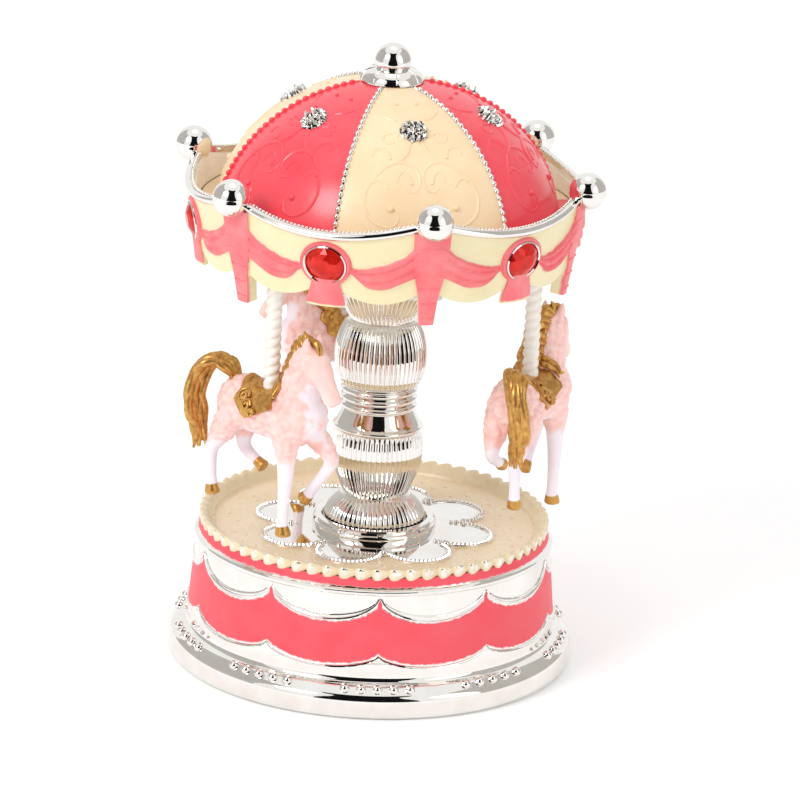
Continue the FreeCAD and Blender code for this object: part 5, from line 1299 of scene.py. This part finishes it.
# %% Three horses
YAWS = (5.0, -12.0, 0.0)
for k, (azimuth, yaw) in enumerate(zip(STATIONS, YAWS), 1):
    place = Matrix.Translation(around(POLE_CIRCLE, azimuth, POLE_LOW))
    station = place @ Matrix.Rotation(math.radians(azimuth + yaw), 4, "Z")
    skin, dressing = body.copy(), trim.copy()
    for shape in (skin, dressing):
        bmesh.ops.transform(shape, matrix=station, verts=shape.verts)
    settle(skin, f"horse_{k}_body", "carousel", HORSE_PAINT, f"horse_{k}", crease=70)
    settle(dressing, f"horse_{k}_hair_and_saddle", "carousel", GOLD_LACQUER, crease=70)

# %% [markdown]
# ## The parts that stay as CAD
# The movement, the bottom cover, the key, the screws and the canopy's floor are right as they are. They
# only need their finish, and the record already says which slot each one belongs to.

# %% Finishes for the CAD nodes
CAD_FINISHES = (BRIGHT_PLATING, CREAM_DECK, SPRAYED_DOME, RED_STONE, HORSE_PAINT, POLE_WHITE, COVER_WHITE,
                NYLON, BRASS, STEEL, KEY_METAL)
FINISH_OF_SLOT = {finish["slot"]: finish for finish in CAD_FINISHES}
for row in frame["record"]["subparts"]:
    for holder in frame["nodes"][row["node"]].material_slots:
        holder.material = FINISH_OF_SLOT[row["material_slot"]]

# %% [markdown]
# ## The studio
# The photograph was taken in a white tent: soft light from everywhere, a little more from the upper left,
# and one dark opening that runs from below the table's front edge to high up in the tent. The plating
# mirrors it as a dark streak between white, and two light grey walls give it some shade at the sides. The
# world is white to the camera and to reflections and a little weaker to diffuse light, so the floor keeps
# a soft shadow. The opening and the walls are strips that only reflections can see.

# %% Floor, opening and walls
FLOOR_FRONT, FLOOR_REACH, FLOOR_Z = -0.46, 4.0, -0.0002
TENT_R, TENT_Z = 1.0, 0.11
OPENING = [(-30.0, 30.0), (0.0, 28.0), (28.0, 21.0), (48.0, 24.0), (60.0, 40.0)]
WALL = [(-4.0, 36.0), (25.0, 36.0), (52.0, 36.0)]


def stage_sheet(name, columns, rows, rule, tone, glow=0.0):
    """A sheet of the set: rule takes two shares from -1 to 1 to a place in metres."""
    bm = bmesh.new()
    bmesh.ops.create_grid(bm, x_segments=columns, y_segments=rows, size=1.0)
    for v in bm.verts:
        v.co = rule(v.co.x, v.co.y)
    paint, tree = new_finish(name, "")
    surface(tree, Base_Color=linear(tone), Roughness=0.9, Specular_IOR_Level=0.0,
            Emission_Color=linear(tone), Emission_Strength=glow)
    sheet = into_scene(name, into_mesh(bm, name))
    sheet.data.materials.append(paint)
    return sheet


def floor_rule(x, y):
    return Vector((FLOOR_REACH * x, FLOOR_FRONT + FLOOR_REACH * (y + 1) / 2, FLOOR_Z))


def tent_strip(name, widths, azimuth, tone):
    """A strip of the tent, with a half width in degrees at each elevation, seen by mirrors only."""
    def rule(across, along):
        height = widths[0][0] + (widths[-1][0] - widths[0][0]) * (along + 1) / 2
        side, up = azimuth + across * through(widths, height), math.radians(height)
        return around(TENT_R * math.cos(up), side, TENT_Z + TENT_R * math.sin(up))

    strip = stage_sheet(name, 12, 24, rule, tone)
    strip.visible_camera = strip.visible_diffuse = strip.visible_shadow = strip.visible_transmission = False


stage_sheet("floor", 1, 1, floor_rule, "FCFCFC", 0.10)
tent_strip("tent_opening", OPENING, 0.0, "161618")
tent_strip("left_tent_wall", WALL, -100.0, "BDBBB7")
tent_strip("right_tent_wall", WALL, 100.0, "BDBBB7")
print("floor, opening and walls ready")

# %% Lamps and world
LAMPS = (("key", (-0.75, -0.75, 0.85), 5.4, 0.5), ("fill", (0.9, -0.6, 0.5), 0.9, 0.8),
         ("top", (0.0, 0.15, 1.2), 0.8, 0.5))
LAMP_AIM, AMBIENT = Vector((0, 0, 0.09)), 0.85
for name, place, power, size in LAMPS:
    lamp = bpy.data.lights.new(name, "AREA")
    lamp.shape, lamp.size, lamp.energy = "DISK", size, power
    holder = into_scene(name, lamp)
    holder.location = place
    holder.rotation_mode = "QUATERNION"
    holder.rotation_quaternion = (LAMP_AIM - Vector(place)).to_track_quat("-Z", "Y")

world = bpy.data.worlds.new("white_tent")
bpy.context.scene.world = world
world.use_nodes = True
tree = world.node_tree
tree.nodes.clear()
path = add(tree, "LightPath").outputs
seen = path["Is Camera Ray"]
for ray in ("Is Glossy Ray", "Is Transmission Ray"):
    seen = add(tree, "Math", {0: seen, 1: path[ray]}, operation="MAXIMUM").outputs[0]
light = add(tree, "Background", {"Color": (1, 1, 1, 1), "Strength": mix(tree, seen, AMBIENT, 1.0)})
add(tree, "OutputWorld", {"Surface": light.outputs[0]})
bpy.context.scene.view_settings.view_transform = "Standard"
print("lamps and world ready")
